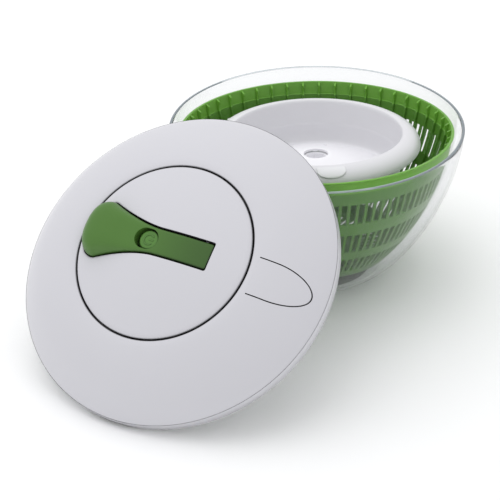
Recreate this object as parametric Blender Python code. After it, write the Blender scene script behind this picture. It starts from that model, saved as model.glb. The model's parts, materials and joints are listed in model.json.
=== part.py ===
"""A hand-cranked salad spinner with its lid off: bowl, basket and inner dish, and the lid leaning on the bowl.

Sizes are in millimetres here and are turned into metres when each solid is made. +Z is up, the bowl stands on z = 0
and its centre is the origin. The basket and the dish are drawn level and then tipped about the top of the bowl's
post. Each piece of the lid is drawn in the lid's own frame: +Z out of the lid, x along the folded handle.
"""

import math

import bmesh
import bpy
from mathutils import Matrix, Vector

GAP = 0.3  # the least room left between two pieces
WALL = 2.5  # moulded plastic wall

# Bowl
BOWL_RADIUS = 130.0
BOWL_HEIGHT = 140.0
BOWL_BASE_RADIUS = 55.6
PAD_THICKNESS = 1.7
POST_DROP = 62.58  # the post's tip below the bowl's rim
POST_TIP_Z = BOWL_HEIGHT - POST_DROP  # the basket turns and tips on this point
POST_BASE_RADIUS = 8.5
POST_TIP_RADIUS = 4.2

# Basket
BASKET_TIP = 3.5  # degrees that it tips when the lid is off
BASKET_ROOM = 6.8  # from the bowl's inside to the basket's outside
BASKET_WALL = 2.2
BASKET_RIM_DROP = 6.0  # the basket's rim below the bowl's
BASKET_FLOOR = 20.02  # underside of its floor
SLOTS = 32
SLOT_SHARE = 0.56  # of one pitch
HUB_HOLE_RADIUS = 19.0
COLUMN_WALL = 2.2

# Inner dish
DISH_RADIUS = 76.0
DISH_SKIRT_RADIUS = 92.5
DISH_DROP = 2.5  # the dish's rim below the basket's
DISH_DEPTH = 40.5
DISH_WALL = 2.2
COLLAR_DROP = 10.5  # height of the dish's rounded collar
HOLE_RADIUS = 10.8
HOLE_DROP = 21.5  # the centre hole below the dish's rim
COLUMN_DROP = 20.0  # the basket's column below that hole
COLUMN_TOP = BOWL_HEIGHT - BASKET_RIM_DROP - DISH_DROP - HOLE_DROP - COLUMN_DROP

# Gears
MODULE = 2.0
RING_TEETH, PLANET_TEETH, SUN_TEETH = 42, 12, 18
TOOTH_SHARE = 0.41  # tooth thickness over pitch: the rest is backlash
GEAR_Z = 13.2
GEAR_THICKNESS = 7.0
SPINDLE_RADIUS = 5.0
SPINDLE_REACH = 42.0  # below the cover
NECK_ROOM = 19.0  # from the ring gear's pitch line out to its neck
NECK_OUTER = MODULE * RING_TEETH / 2 + NECK_ROOM

# Lid
LID_RADIUS = BOWL_RADIUS + 4.3
LID_SKIRT = 9.0
LID_TOP = 39.6
DISC_MARGIN = 13.0  # the crank disc covers the neck and the screws round it
DISC_RADIUS = NECK_OUTER + DISC_MARGIN
DISC_GAP = 1.0
DISC_RISE = 10.5  # the crank disc carries on the dome's curve
SHELF_Z = 33.0  # top of the shelf that carries the crank disc
SHELF_THICKNESS = 2.3
COVER_Z = 10.0
COVER_THICKNESS = 2.0
LID_TILT = 37.8
LID_AZIMUTH = 239.6
LID_REST = 0.57  # the bowl's rim below the lid's cover, which leans on it
LID_SIDE = 25.0  # how far the lid stands to one side of the bowl's middle
HANDLE_TURN = 0.4

# Handle
HANDLE_END = 44.0
HANDLE_TIP = 2.0 - DISC_RADIUS
HANDLE_NECK, HANDLE_BULB = 11.5, 24.4  # half widths
HANDLE_SIDE = 2.8  # the handle stands this far off the disc's middle
HINGE_X = 36.0
HINGE_Z = 42.5
PIN_RADIUS = 2.0
BUTTON_X = -10.5
BUTTON_RADIUS = 8.2
BUTTON_ROOM = 0.6
BUTTON_NICHE = 2.8  # the button's hole runs on this far towards the bulb
BUTTON_SINK = 2.2  # the button's face below the handle's top
BUTTON_TRAVEL = 2.5
BOSS_LOW = 35.0  # underside of the boss that holds the button
WELL_LOW = 37.2  # floor of the button's well
RECESS_Z = 37.6  # floor of the handle's recess in the disc

# Brake
BRAKE_HALF = 15.0
BRAKE_START, BRAKE_END = DISC_RADIUS + 6.5, LID_RADIUS - 10.1
BRAKE_ROUND = 29.0  # length of the tongue's rounded end
BRAKE_SLIT = 0.6
BRAKE_HINGE = (BRAKE_START + 5.5, 28.5)
BRAKE_PAD_ROOM = 0.85


# ---------------------------------------------------------------- shapes

def clear():
    for thing in list(bpy.data.objects):
        bpy.data.objects.remove(thing)


def solid(name, points, faces, frame=None, smooth=False):
    """An object from points in millimetres."""
    mesh = bpy.data.meshes.new(name)
    mesh.from_pydata([Vector(p) * 0.001 for p in points], [], faces)
    body = bmesh.new()
    body.from_mesh(mesh)
    bmesh.ops.remove_doubles(body, verts=body.verts, dist=1e-6)
    bmesh.ops.recalc_face_normals(body, faces=body.faces)
    body.to_mesh(mesh)
    body.free()
    made = bpy.data.objects.new(name, mesh)
    bpy.context.scene.collection.objects.link(made)
    if frame is not None:
        made.matrix_world = frame
    return made


def turned(profile, steps):
    """Points and faces of a closed (r, z) outline turned about z. A point with r = 0 becomes a pole."""
    points, rings = [], []
    for r, z in profile:
        if r < 1e-9:
            rings.append([len(points)] * steps)
            points.append((0.0, 0.0, z))
            continue
        rings.append(list(range(len(points), len(points) + steps)))
        for i in range(steps):
            angle = 2 * math.pi * i / steps
            points.append((r * math.cos(angle), r * math.sin(angle), z))
    faces = []
    for k, ring in enumerate(rings):
        after = rings[(k + 1) % len(rings)]
        if profile[k][0] < 1e-9 and profile[(k + 1) % len(rings)][0] < 1e-9:
            continue
        for i in range(steps):
            j = (i + 1) % steps
            face = []
            for v in (ring[i], ring[j], after[j], after[i]):
                if v not in face:
                    face.append(v)
            if len(face) > 2:
                faces.append(face)
    return points, faces


def lathe(name, profile, steps, frame=None):
    return solid(name, *turned(profile, steps), frame)


def prism(name, outline, low, high, frame=None):
    count = len(outline)
    points = [(x, y, low) for x, y in outline] + [(x, y, high) for x, y in outline]
    faces = [list(range(count))[::-1], list(range(count, 2 * count))]
    faces += [[i, (i + 1) % count, count + (i + 1) % count, count + i] for i in range(count)]
    return solid(name, points, faces, frame)


def rod(name, radius, start, end, steps=16, frame=None):
    """A round bar between two points."""
    start, end = Vector(start), Vector(end)
    way = (end - start).normalized()
    turn = Vector((0, 0, 1)).rotation_difference(way).to_matrix()
    points = []
    for centre in (start, end):
        for i in range(steps):
            angle = 2 * math.pi * (i + 0.37) / steps
            points.append(centre + turn @ Vector((radius * math.cos(angle), radius * math.sin(angle), 0)))
    faces = [list(range(steps))[::-1], list(range(steps, 2 * steps))]
    faces += [[i, (i + 1) % steps, steps + (i + 1) % steps, steps + i] for i in range(steps)]
    return solid(name, points, faces, frame)


def box(name, low, high, frame=None):
    x0, y0, z0 = low
    x1, y1, z1 = high
    return prism(name, [(x0, y0), (x1, y0), (x1, y1), (x0, y1)], z0, z1, frame)


def combine(target, tools, how):
    """Applies one Boolean per tool and removes the tools."""
    for tool in tools:
        step = target.modifiers.new("step", "BOOLEAN")
        step.operation = how
        step.solver = "EXACT"
        step.object = tool
        bpy.context.view_layer.update()
        graph = bpy.context.evaluated_depsgraph_get()
        made = bpy.data.meshes.new_from_object(target.evaluated_get(graph))
        target.modifiers.clear()
        target.data = made
        bpy.data.objects.remove(tool)
    return target


def cut(target, *tools):
    return combine(target, tools, "DIFFERENCE")


def join(target, *tools):
    return combine(target, tools, "UNION")


def offset(line, distance):
    """The open (r, z) line moved sideways, to its left for a positive distance."""
    moved = []
    for k, (r, z) in enumerate(line):
        before, after = line[max(k - 1, 0)], line[min(k + 1, len(line) - 1)]
        dr, dz = after[0] - before[0], after[1] - before[1]
        size = math.hypot(dr, dz)
        moved.append((r - dz / size * distance, z + dr / size * distance))
    return moved


def gear_outline(teeth, share, outer, root):
    """A gear with straight-sided teeth that follow the involute at three radii. share is thickness over pitch."""
    pitch_radius = MODULE * teeth / 2
    base = pitch_radius * math.cos(math.radians(20))
    inv20 = math.tan(math.radians(20)) - math.radians(20)

    def half_angle(radius):
        at_pitch = math.pi * share / teeth
        if radius <= base:
            return at_pitch + inv20
        pressure = math.acos(base / radius)
        return at_pitch + inv20 - (math.tan(pressure) - pressure)

    outline = []
    radii = [root, pitch_radius, outer]
    for i in range(teeth):
        middle = 2 * math.pi * i / teeth
        flank = [(radius, half_angle(radius)) for radius in radii]
        for radius, half in flank:
            outline.append((radius * math.cos(middle - half), radius * math.sin(middle - half)))
        for radius, half in reversed(flank):
            outline.append((radius * math.cos(middle + half), radius * math.sin(middle + half)))
    return outline


# ---------------------------------------------------------------- profiles

def bowl_radius_at(z):
    """Outer radius of the bowl at height z."""
    depth = min(max((BOWL_HEIGHT - z) / BOWL_HEIGHT, 0.0), 1.0)
    return BOWL_BASE_RADIUS + (BOWL_RADIUS - BOWL_BASE_RADIUS) * (1 - depth**1.67) ** (1 / 1.35)


def bowl_line(heights):
    return [(bowl_radius_at(z), z) for z in heights]


def dome_z(r):
    """Height of the lid's outer surface at radius r from the disc's well to the skirt."""
    share = (r - DISC_RADIUS) / (LID_RADIUS - DISC_RADIUS)
    return LID_SKIRT + (LID_TOP - LID_SKIRT) * (1 - min(max(share, 0.0), 1.0) ** 1.55) ** 0.8


def disc_z(r):
    """Height of the crank disc's top."""
    return LID_TOP - 0.2 + DISC_RISE * (1 - (r / DISC_RADIUS) ** 2)


def handle_half(x):
    """Half width of the handle at x."""
    neck, wide = -2.0, HANDLE_TIP + 17.5
    if x >= neck:
        return HANDLE_NECK
    if x >= wide:
        return HANDLE_NECK + (HANDLE_BULB - HANDLE_NECK) * ((neck - x) / (neck - wide)) ** 1.6
    share = min((wide - x) / 17.5, 1.0)
    return HANDLE_BULB * (1 - share**2.3) ** (1 / 2.3)


def handle_outline(grow, end=HANDLE_END, steps=22):
    """Plan view of the handle, grown outwards by grow."""
    low = HANDLE_TIP - grow
    upper = []
    for i in range(steps + 1):
        share = i / steps
        x = end + grow + (low - end - grow) * (1 - (1 - share) ** 1.6)
        inner = min(max(x + grow * (1 if x < HANDLE_TIP + 32 else 0), HANDLE_TIP + 0.05), end)
        upper.append((x, handle_half(inner) + grow if i < steps else 2.0 + grow))
    return [(x, y + HANDLE_SIDE) for x, y in upper + [(x, -y) for x, y in reversed(upper)]]


# ---------------------------------------------------------------- frames

TIPPED = (
    Matrix.Translation((0, 0, POST_TIP_Z * 0.001))
    @ Matrix.Rotation(math.radians(-BASKET_TIP), 4, "X")
    @ Matrix.Translation((0, 0, -POST_TIP_Z * 0.001))
)


def lid_frame():
    tilt, azimuth = math.radians(LID_TILT), math.radians(LID_AZIMUTH)
    out = Vector((math.cos(azimuth), math.sin(azimuth), 0))
    side = Vector((-math.sin(azimuth), math.cos(azimuth), 0))
    normal = math.sin(tilt) * out + math.cos(tilt) * Vector((0, 0, 1))
    uphill = normal.cross(side)
    height = LID_RADIUS * math.sin(tilt) + GAP
    lean = BOWL_RADIUS + ((BOWL_HEIGHT - height) * math.cos(tilt) - COVER_Z + LID_REST) / math.sin(tilt)
    centre = (out * lean - side * LID_SIDE) * 0.001
    centre.z = height * 0.001
    turn = Matrix((side, uphill, normal)).transposed().to_4x4()
    return Matrix.Translation(centre) @ turn @ Matrix.Rotation(math.radians(HANDLE_TURN), 4, "Z")


LID = lid_frame()


def polar(radius, degrees):
    return radius * math.cos(math.radians(degrees)), radius * math.sin(math.radians(degrees))


# ---------------------------------------------------------------- bowl

def make_bowl():
    bottom = PAD_THICKNESS + GAP
    heights = [bottom, 4.5, 9, 16, 26, 40, 58, 80, 105]
    heights = [z * BOWL_HEIGHT / 140.0 for z in heights]
    heights[0] = bottom
    outer = bowl_line(heights + [BOWL_HEIGHT - 1.0])
    floor = bottom + WALL
    inner = offset(bowl_line(heights[2:] + [BOWL_HEIGHT]), WALL)
    inner = [(r, z) for r, z in inner if floor + 1 < z < BOWL_HEIGHT - 2]
    lip = bowl_radius_at(BOWL_HEIGHT)
    profile = [(0, bottom), (outer[0][0] - 3, bottom)] + outer[0:] + [(lip - 0.6, BOWL_HEIGHT)]
    profile += [(lip - WALL, BOWL_HEIGHT)] + inner[::-1]
    profile += [(inner[0][0] - 5, floor + 0.4), (inner[0][0] - 9, floor), (0, floor)]
    lathe("bowl", profile, 48)
    lathe("nonslip_base_pad", [(0, 0), (BOWL_BASE_RADIUS - 4, 0), (BOWL_BASE_RADIUS - 4, PAD_THICKNESS),
                               (0, PAD_THICKNESS)], 40)
    low = floor + GAP
    lathe("bowl_centre_post", [(0, low), (POST_BASE_RADIUS + 7, low), (POST_BASE_RADIUS + 7, low + 2),
                               (POST_BASE_RADIUS, low + 5), (POST_TIP_RADIUS, POST_TIP_Z - 3.5),
                               (POST_TIP_RADIUS * 0.7, POST_TIP_Z - 1.2), (0, POST_TIP_Z)], 24)
    return floor


# ---------------------------------------------------------------- basket

def basket_line():
    """(outer points, slotted flags): the flag says whether the band below a point is cut by slots."""
    top = BOWL_HEIGHT - BASKET_RIM_DROP
    bottom = BASKET_FLOOR
    reach = top - bottom
    shares = [1.0, 0.90, 0.798, 0.632, 0.504, 0.338, 0.228, 0.088, 0.035, 0.0]
    slotted = [k in (2, 4, 6) for k in range(len(shares) - 1)]
    points = []
    for share in shares:
        z = bottom + reach * share
        slope = bowl_radius_at(z + 0.5) - bowl_radius_at(z - 0.5)
        points.append([bowl_radius_at(z) - (WALL + BASKET_ROOM) * math.hypot(1.0, slope), z])
    points[-1][0] = points[-2][0] - 4.0
    return [tuple(p) for p in points], slotted


def make_basket():
    outer, slotted = basket_line()
    inner = offset(outer, -BASKET_WALL)
    inner[0] = (outer[0][0] - BASKET_WALL, outer[0][1])
    inner[-1] = (outer[-1][0] - 2.0, outer[-1][1] + BASKET_WALL)
    outer, inner = list(outer), list(inner)
    # the floor, out of which the hub hole is cut, with one ring of slots
    edge = outer[-1][0]
    for r in (edge - 7.0, HUB_HOLE_RADIUS + 14.0, HUB_HOLE_RADIUS):
        outer.append((r, outer[-1][1]))
        inner.append((r, inner[-1][1]))
    slotted = slotted + [False, True, False]
    columns = 2 * SLOTS
    points, index = [], {}
    for side, line in enumerate((outer, inner)):
        for k, (r, z) in enumerate(line):
            for j in range(columns):
                start = (j // 2) * 2 * math.pi / SLOTS
                angle = start + (SLOT_SHARE * 2 * math.pi / SLOTS if j % 2 else 0)
                index[side, k, j] = len(points)
                points.append((r * math.cos(angle), r * math.sin(angle), z))
    faces = []

    def quad(*keys):
        faces.append([index[key] for key in keys])

    last = len(outer) - 1
    for k in range(last):
        for j in range(columns):
            n = (j + 1) % columns
            if slotted[k] and j % 2 == 0:
                quad((0, k, j), (1, k, j), (1, k, n), (0, k, n))
                quad((0, k + 1, j), (0, k + 1, n), (1, k + 1, n), (1, k + 1, j))
                quad((0, k, j), (0, k + 1, j), (1, k + 1, j), (1, k, j))
                quad((0, k, n), (1, k, n), (1, k + 1, n), (0, k + 1, n))
                continue
            quad((0, k, j), (0, k, n), (0, k + 1, n), (0, k + 1, j))
            quad((1, k, j), (1, k + 1, j), (1, k + 1, n), (1, k, n))
    for j in range(columns):
        n = (j + 1) % columns
        quad((0, 0, j), (1, 0, j), (1, 0, n), (0, 0, n))
        quad((0, last, j), (0, last, n), (1, last, n), (1, last, j))
    solid("basket", points, faces, TIPPED)
    return inner[-1][1]


def make_column(floor_top):
    """The hollow column in the basket, the cup that turns on the post, and what the dish keys onto."""
    column_top = COLUMN_TOP
    low = floor_top + GAP
    cup_top = POST_TIP_Z + GAP + 2.5
    cup_low = POST_TIP_Z - 13.0
    cup_radius = POST_TIP_RADIUS + 5.0
    bore = cup_radius + GAP
    foot = POST_BASE_RADIUS + (POST_TIP_Z - low) * math.tan(math.radians(BASKET_TIP)) + 2 * GAP
    foot = max(foot, bore)
    lathe("basket_column", [(foot + COLUMN_WALL, low), (foot + COLUMN_WALL + 6, low),
                            (foot + COLUMN_WALL + 6, low + 2.2), (foot + COLUMN_WALL, low + 5),
                            (bore + COLUMN_WALL, cup_low - 2), (bore + COLUMN_WALL, column_top),
                            (0, column_top), (0, cup_top + GAP), (bore, cup_top + GAP), (bore, cup_low - 2),
                            (foot, low)], 30, TIPPED)
    key = 6.0
    post = lathe("drive_key", [(0, column_top + GAP), (key, column_top + GAP), (key, column_top + 4.3),
                               (0, column_top + 4.3)], 6, TIPPED)
    lathe("basket_bearing_cup", [(0, POST_TIP_Z + GAP), (POST_TIP_RADIUS * 0.7, POST_TIP_Z + GAP),
                                 (cup_radius - 2.0, POST_TIP_Z - 2.0), (cup_radius - 2.0, cup_low),
                                 (cup_radius, cup_low), (cup_radius, cup_top), (0, cup_top)], 28, TIPPED)


# ---------------------------------------------------------------- inner dish

def dish_line():
    """Top surface from the centre hole, over the dome, up the wall and down the skirt."""
    rim = BOWL_HEIGHT - BASKET_RIM_DROP - DISH_DROP
    hole = rim - HOLE_DROP
    floor = rim - DISH_DEPTH
    valley = DISH_RADIUS * 0.90
    line = []
    for part in (0.0, 0.22, 0.5, 0.78):
        line.append((HOLE_RADIUS + (valley - HOLE_RADIUS) * part, hole - (hole - floor) * part**1.2))
    line += [(valley, floor + 0.4), (valley + 3.6, floor + 3.4), (DISH_RADIUS - 2.2, floor + 9.0)]
    line += [(DISH_RADIUS - 1.2, (rim + floor) / 2 + 2.0), (DISH_RADIUS, rim - 0.8), (DISH_RADIUS + 1.6, rim)]
    width = DISH_SKIRT_RADIUS - DISH_RADIUS - 1.6
    for share in (0.45, 0.75, 0.93, 1.0):
        line.append((DISH_RADIUS + 1.6 + width * share, rim - COLLAR_DROP * (1 - math.sqrt(1 - share**2)) - 0.4))
    line.append((DISH_SKIRT_RADIUS - 0.4, rim - COLLAR_DROP - 2.5))
    return line


def make_dish():
    line = dish_line()
    below = offset(line, -DISH_WALL)
    below[0] = (line[0][0], line[0][1] - DISH_WALL)
    below[-1] = (line[-1][0] - DISH_WALL, line[-1][1])
    lathe("inner_dish", line + below[::-1], 40, TIPPED)
    hub_top = line[0][1] - DISH_WALL - 1.2
    hub_radius = HOLE_RADIUS + 2.6
    low = COLUMN_TOP + GAP
    hub = lathe("dish_hub_socket", [(0, low), (hub_radius, low), (hub_radius, hub_top), (0, hub_top)], 32, TIPPED)
    keyhole = lathe("keyhole", [(0, low - 1), (6.0 + GAP * 1.6, low - 1), (6.0 + GAP * 1.6, low + 4.6),
                                (0, low + 4.6)], 6, TIPPED)
    socket = lathe("socket", [(0, low + 7.4), (HOLE_RADIUS - 1.4, low + 7.4), (HOLE_RADIUS - 1.4, hub_top + 1),
                              (0, hub_top + 1)], 8, TIPPED)
    cut(hub, keyhole, socket)
    # a clip-in finger tab on the front of the skirt
    rim = BOWL_HEIGHT - BASKET_RIM_DROP - DISH_DROP
    points, faces = [], []
    across, down = 7, 5
    for layer in (GAP, GAP + 1.2):
        for i in range(across):
            share = -1 + 2 * i / (across - 1)
            for k in range(down):
                part = k / (down - 1)
                angle = math.radians(-90 + 5.7) + share * 12.0 / 86.0
                drop = 1.0 + (4.8 * part) * max(1 - share**2, 0.12) ** 0.5
                shape = 1 - min(drop / COLLAR_DROP, 1.0)
                r = DISH_RADIUS + 1.6 + (DISH_SKIRT_RADIUS - DISH_RADIUS - 1.6) * math.sqrt(1 - shape**2)
                nr, nz = math.sqrt(1 - shape**2) + 0.05, shape + 0.25
                size = math.hypot(nr, nz)
                r, z = r + nr / size * (layer + 0.5), rim - drop + nz / size * (layer + 0.5)
                points.append((r * math.cos(angle), r * math.sin(angle), z))
    count = across * down

    def at(layer, i, k):
        return layer * count + i * down + k

    for i in range(across - 1):
        for k in range(down - 1):
            faces.append([at(0, i, k), at(0, i + 1, k), at(0, i + 1, k + 1), at(0, i, k + 1)])
            faces.append([at(1, i, k), at(1, i, k + 1), at(1, i + 1, k + 1), at(1, i + 1, k)])
    for i in range(across - 1):
        for k in (0, down - 1):
            faces.append([at(0, i, k), at(0, i + 1, k), at(1, i + 1, k), at(1, i, k)])
    for k in range(down - 1):
        for i in (0, across - 1):
            faces.append([at(0, i, k), at(0, i, k + 1), at(1, i, k + 1), at(1, i, k)])
    solid("dish_finger_tab", points, faces, TIPPED)


# ---------------------------------------------------------------- lid

SCREW_RADIUS = DISC_RADIUS - 1.5
SCREW_ANGLES = (30, 90, 150, 210, 270, 330)


def brake_outline(grow):
    half = BRAKE_HALF + grow
    end = BRAKE_END - BRAKE_ROUND
    outline = [(BRAKE_START - grow, -half)]
    for i in range(13):
        angle = -math.pi / 2 + math.pi * i / 12
        outline.append((end + (BRAKE_ROUND + grow) * math.cos(angle), half * math.sin(angle)))
    return outline + [(BRAKE_START - grow, half)]


def dome_profile(radii):
    return [(r, dome_z(r)) for r in radii]


def make_lid_shell():
    outer_radii = [LID_RADIUS - 0.4, LID_RADIUS - 2, LID_RADIUS - 6, 118, 108, 97, 87, 80]
    scale = (LID_RADIUS - DISC_RADIUS) / 60.3
    outer_radii[3:] = [DISC_RADIUS + (r - 74) * scale for r in outer_radii[3:]]
    well = DISC_RADIUS + DISC_GAP
    outer = [(LID_RADIUS, 0), (LID_RADIUS, LID_SKIRT)] + dome_profile(outer_radii)
    outer += [(well + 1.0, dome_z(well + 1.0) - 0.1), (well, dome_z(well) - 0.6)]
    shelf_low = SHELF_Z - SHELF_THICKNESS
    shelf = [(well, SHELF_Z), (NECK_OUTER + 1.0, SHELF_Z), (NECK_OUTER + 1.0, shelf_low), (well + WALL, shelf_low)]
    inner = offset(dome_profile(outer_radii), WALL)
    inner = [(r, z) for r, z in inner if r > well + WALL + 1 and z > COVER_Z + COVER_THICKNESS]
    inner = [(well + WALL, dome_z(well + WALL) - WALL * 1.15)] + inner[::-1]
    rim = LID_RADIUS - WALL - 0.3
    inner += [(rim, COVER_Z + GAP), (rim, 0)]
    shell = lathe("lid_shell", outer + shelf + inner, 48, LID)
    bosses = []
    for angle in SCREW_ANGLES:
        x, y = polar(SCREW_RADIUS, angle)
        bosses.append(rod("boss", 3.9, (x, y, COVER_Z + COVER_THICKNESS + GAP), (x, y, SHELF_Z - 0.8), 12, LID))
    join(shell, *bosses)
    holes = []
    for angle in SCREW_ANGLES:
        x, y = polar(SCREW_RADIUS, angle)
        holes.append(rod("hole", 1.9, (x, y, COVER_Z), (x, y, 24.0), 8, LID))
    holes.append(prism("slit", brake_outline(BRAKE_SLIT), 10.0, LID_TOP + 5, LID))
    cut(shell, *holes)
    return shelf_low


def make_cover():
    top = COVER_Z + COVER_THICKNESS
    bush = SPINDLE_RADIUS + 2.7
    edge = LID_RADIUS - 7.8
    cover = lathe("lid_under_cover", [(bush + GAP, COVER_Z), (edge, COVER_Z), (edge, top), (bush + GAP, top)], 44, LID)
    ears = []
    hx, hz = BRAKE_HINGE
    for side in (-1, 1):
        low, high = sorted((side * 7.0, side * 10.0))
        ears.append(box("ear", (hx - 4, low, top - 1.0), (hx + 4, high, hz + 2.6), LID))
    join(cover, *ears)
    holes = [rod("hole", PIN_RADIUS + GAP, (hx, -20, hz), (hx, 20, hz), 12, LID)]
    for angle in SCREW_ANGLES:
        x, y = polar(SCREW_RADIUS, angle)
        holes.append(rod("hole", 1.5 + GAP, (x, y, COVER_Z - 1), (x, y, top + 1), 10, LID))
    for angle in PLANET_ANGLES:
        x, y = polar(PLANET_RADIUS, angle)
        holes.append(rod("hole", 2.2 + GAP, (x, y, COVER_Z - 1), (x, y, top + 1), 12, LID))
    cut(cover, *holes)
    lathe("lid_seal_ring", [(edge - 2, COVER_Z - 2.3), (LID_RADIUS - WALL - 0.3 - 1.5 * GAP, COVER_Z - 2.3),
                            (LID_RADIUS - WALL - 0.3 - 1.5 * GAP, COVER_Z - GAP), (edge - 2, COVER_Z - GAP)], 44, LID)
    lathe("spindle_bush", [(SPINDLE_RADIUS + GAP, COVER_Z - 2.5), (bush + 2, COVER_Z - 2.5), (bush + 2, COVER_Z - GAP),
                           (bush, COVER_Z - GAP), (bush, top), (SPINDLE_RADIUS + GAP, top)], 28, LID)
    for number, angle in enumerate(SCREW_ANGLES, 1):
        x, y = polar(SCREW_RADIUS, angle)
        screw = LID @ Matrix.Translation((x * 0.001, y * 0.001, 0))
        lathe(f"cover_screw_{number}", [(0, COVER_Z - 2.4), (2.0, COVER_Z - 2.4), (3.2, COVER_Z - 1.4),
                                        (3.2, COVER_Z - GAP), (1.5, COVER_Z - GAP), (1.5, 22.0), (0, 23.0)], 12, screw)


# ---------------------------------------------------------------- crank and gears

PLANET_RADIUS = MODULE * (SUN_TEETH + PLANET_TEETH) / 2
PLANET_ANGLES = (30, 150, 270)


def make_disc():
    shelf_room = SHELF_Z + 0.4
    radii = [DISC_RADIUS - 0.3, 66, 54, 40, 24]
    radii[1:] = [r * DISC_RADIUS / 74.0 for r in radii[1:]]
    top = [(r, disc_z(r)) for r in radii]
    low = SHELF_Z + 2.6
    profile = [(0, disc_z(0))] + top[::-1] + [(DISC_RADIUS, disc_z(DISC_RADIUS) - 0.9), (DISC_RADIUS, shelf_room),
                                              (DISC_RADIUS - 3, shelf_room), (DISC_RADIUS - 3, low), (0, low)]
    disc = lathe("crank_disc", profile, 48, LID)
    # a tub under the disc takes the handle's neck and its hinge
    neck = handle_outline(1.0)
    tub_low = HINGE_Z - 11.5
    side = HANDLE_SIDE
    tub = box("tub", (HINGE_X - 12.5, side - 15.5, tub_low), (HANDLE_END + 4.5, side + 15.5, low + 1.0), LID)
    boss = rod("boss", 15.0, (BUTTON_X, side, BOSS_LOW - 5.5), (BUTTON_X, side, low + 1.0), 24, LID)
    pivot = rod("pivot", 8.0, (0, 0, 22.0), (0, 0, low + 1.0), 20, LID)
    join(disc, tub, boss, pivot)
    recess = prism("recess", neck, RECESS_Z, LID_TOP + 30, LID)
    room = HANDLE_NECK + 1.1
    pocket = box("pocket", (HINGE_X - 10.0, side - room, tub_low + 2.0), (HANDLE_END + 1.2, side + room, LID_TOP + 20),
                 LID)
    button_well = rod("well", 12.0, (BUTTON_X, side, BOSS_LOW - 3.0), (BUTTON_X, side, LID_TOP + 20), 24, LID)
    bore = rod("bore", 4.0 + GAP, (0, 0, 18.0), (0, 0, 30.5), 16, LID)
    reach = HANDLE_NECK + 3.1
    hinge = rod("hinge", PIN_RADIUS + GAP, (HINGE_X, side - reach, HINGE_Z), (HINGE_X, side + reach, HINGE_Z), 12, LID)
    holes = [rod("hole", 1.3 + GAP, (*polar(NECK_OUTER - 3.2, a), low - 1), (*polar(NECK_OUTER - 3.2, a), low + 2.2), 8,
                 LID) for a in RING_SCREW_ANGLES]
    cut(disc, recess, pocket, button_well, bore, hinge, *holes)
    return low


RING_SCREW_ANGLES = (90, 210, 330)


def make_gears(disc_low, shelf_low):
    top = GEAR_Z + GEAR_THICKNESS
    ring_pitch = MODULE * RING_TEETH / 2
    flange_top = shelf_low - GAP - 0.1
    neck_in = NECK_OUTER - 6.0
    profile = [(ring_pitch - 4, GEAR_Z), (ring_pitch + 6, GEAR_Z), (ring_pitch + 6, top - 2.6), (NECK_OUTER, top - 2.6),
               (NECK_OUTER, flange_top - 2.6), (NECK_OUTER + 5.0, flange_top - 2.6), (NECK_OUTER + 5.0, flange_top),
               (NECK_OUTER, flange_top), (NECK_OUTER, disc_low - GAP), (neck_in, disc_low - GAP), (neck_in, top),
               (ring_pitch - 4, top)]
    ring = lathe("ring_gear", profile, 48, LID)
    spaces = gear_outline(RING_TEETH, 1 - TOOTH_SHARE, ring_pitch + 1.2 * MODULE, ring_pitch - 0.85 * MODULE)
    cutter = prism("cutter", spaces, GEAR_Z - 1, top + 1, LID)
    holes = [rod("hole", 1.3 + GAP, (*polar(NECK_OUTER - 3.2, a), top - 4), (*polar(NECK_OUTER - 3.2, a), 40), 8, LID)
             for a in RING_SCREW_ANGLES]
    cut(ring, cutter, *holes)
    for number, angle in enumerate(RING_SCREW_ANGLES, 1):
        x, y = polar(NECK_OUTER - 3.2, angle)
        place = LID @ Matrix.Translation((x * 0.001, y * 0.001, 0))
        low = top - 2.6 - GAP
        lathe(f"ring_screw_{number}", [(0, low - 1.8), (2.4, low - 1.8), (2.4, low), (1.3, low), (1.3, disc_low + 1.6),
                                       (0, disc_low + 1.9)], 10, place)
    outline = gear_outline(PLANET_TEETH, TOOTH_SHARE, MODULE * (PLANET_TEETH / 2 + 0.85),
                           MODULE * (PLANET_TEETH / 2 - 1.15))
    for number, angle in enumerate(PLANET_ANGLES, 1):
        x, y = polar(PLANET_RADIUS, angle)
        phase = math.radians(angle) + planet_phase(angle)
        place = LID @ Matrix.Translation((x * 0.001, y * 0.001, 0))
        planet = prism(f"planet_gear_{number}", outline, GEAR_Z + 0.4, top - 0.4, place @ Matrix.Rotation(phase, 4, "Z"))
        cut(planet, rod("bore", 2.2 + GAP, (0, 0, 0), (0, 0, 40), 14, place))
        lathe(f"planet_pin_{number}", [(0, COVER_Z + 0.1), (2.2, COVER_Z + 0.1), (2.2, top + 0.0), (4.2, top + 0.0),
                                       (4.2, top + 1.3), (0, top + 1.3)], 14, place)
    outline = gear_outline(SUN_TEETH, TOOTH_SHARE, MODULE * (SUN_TEETH / 2 + 0.85), MODULE * (SUN_TEETH / 2 - 1.15))
    sun = prism("sun_gear", outline, GEAR_Z, top, LID @ Matrix.Rotation(sun_phase(), 4, "Z"))
    cut(sun, rod("bore", SPINDLE_RADIUS + GAP, (0, 0, 0), (0, 0, 40), 16, LID))
    end = COVER_Z - SPINDLE_REACH
    spindle = lathe("drive_spindle", [(0, end), (3.5, end), (SPINDLE_RADIUS, end + 2), (SPINDLE_RADIUS, top + 0.0),
                                      (4.0, top + 0.0), (4.0, 30.2), (0, 30.2)], 24, LID)
    across = HOLE_RADIUS - 1.4 - 2 * GAP
    driver = lathe("driver", [(0, end + 1), (across, end + 1), (across, end + 9), (0, end + 9)], 8, LID)
    join(spindle, driver)


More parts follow.
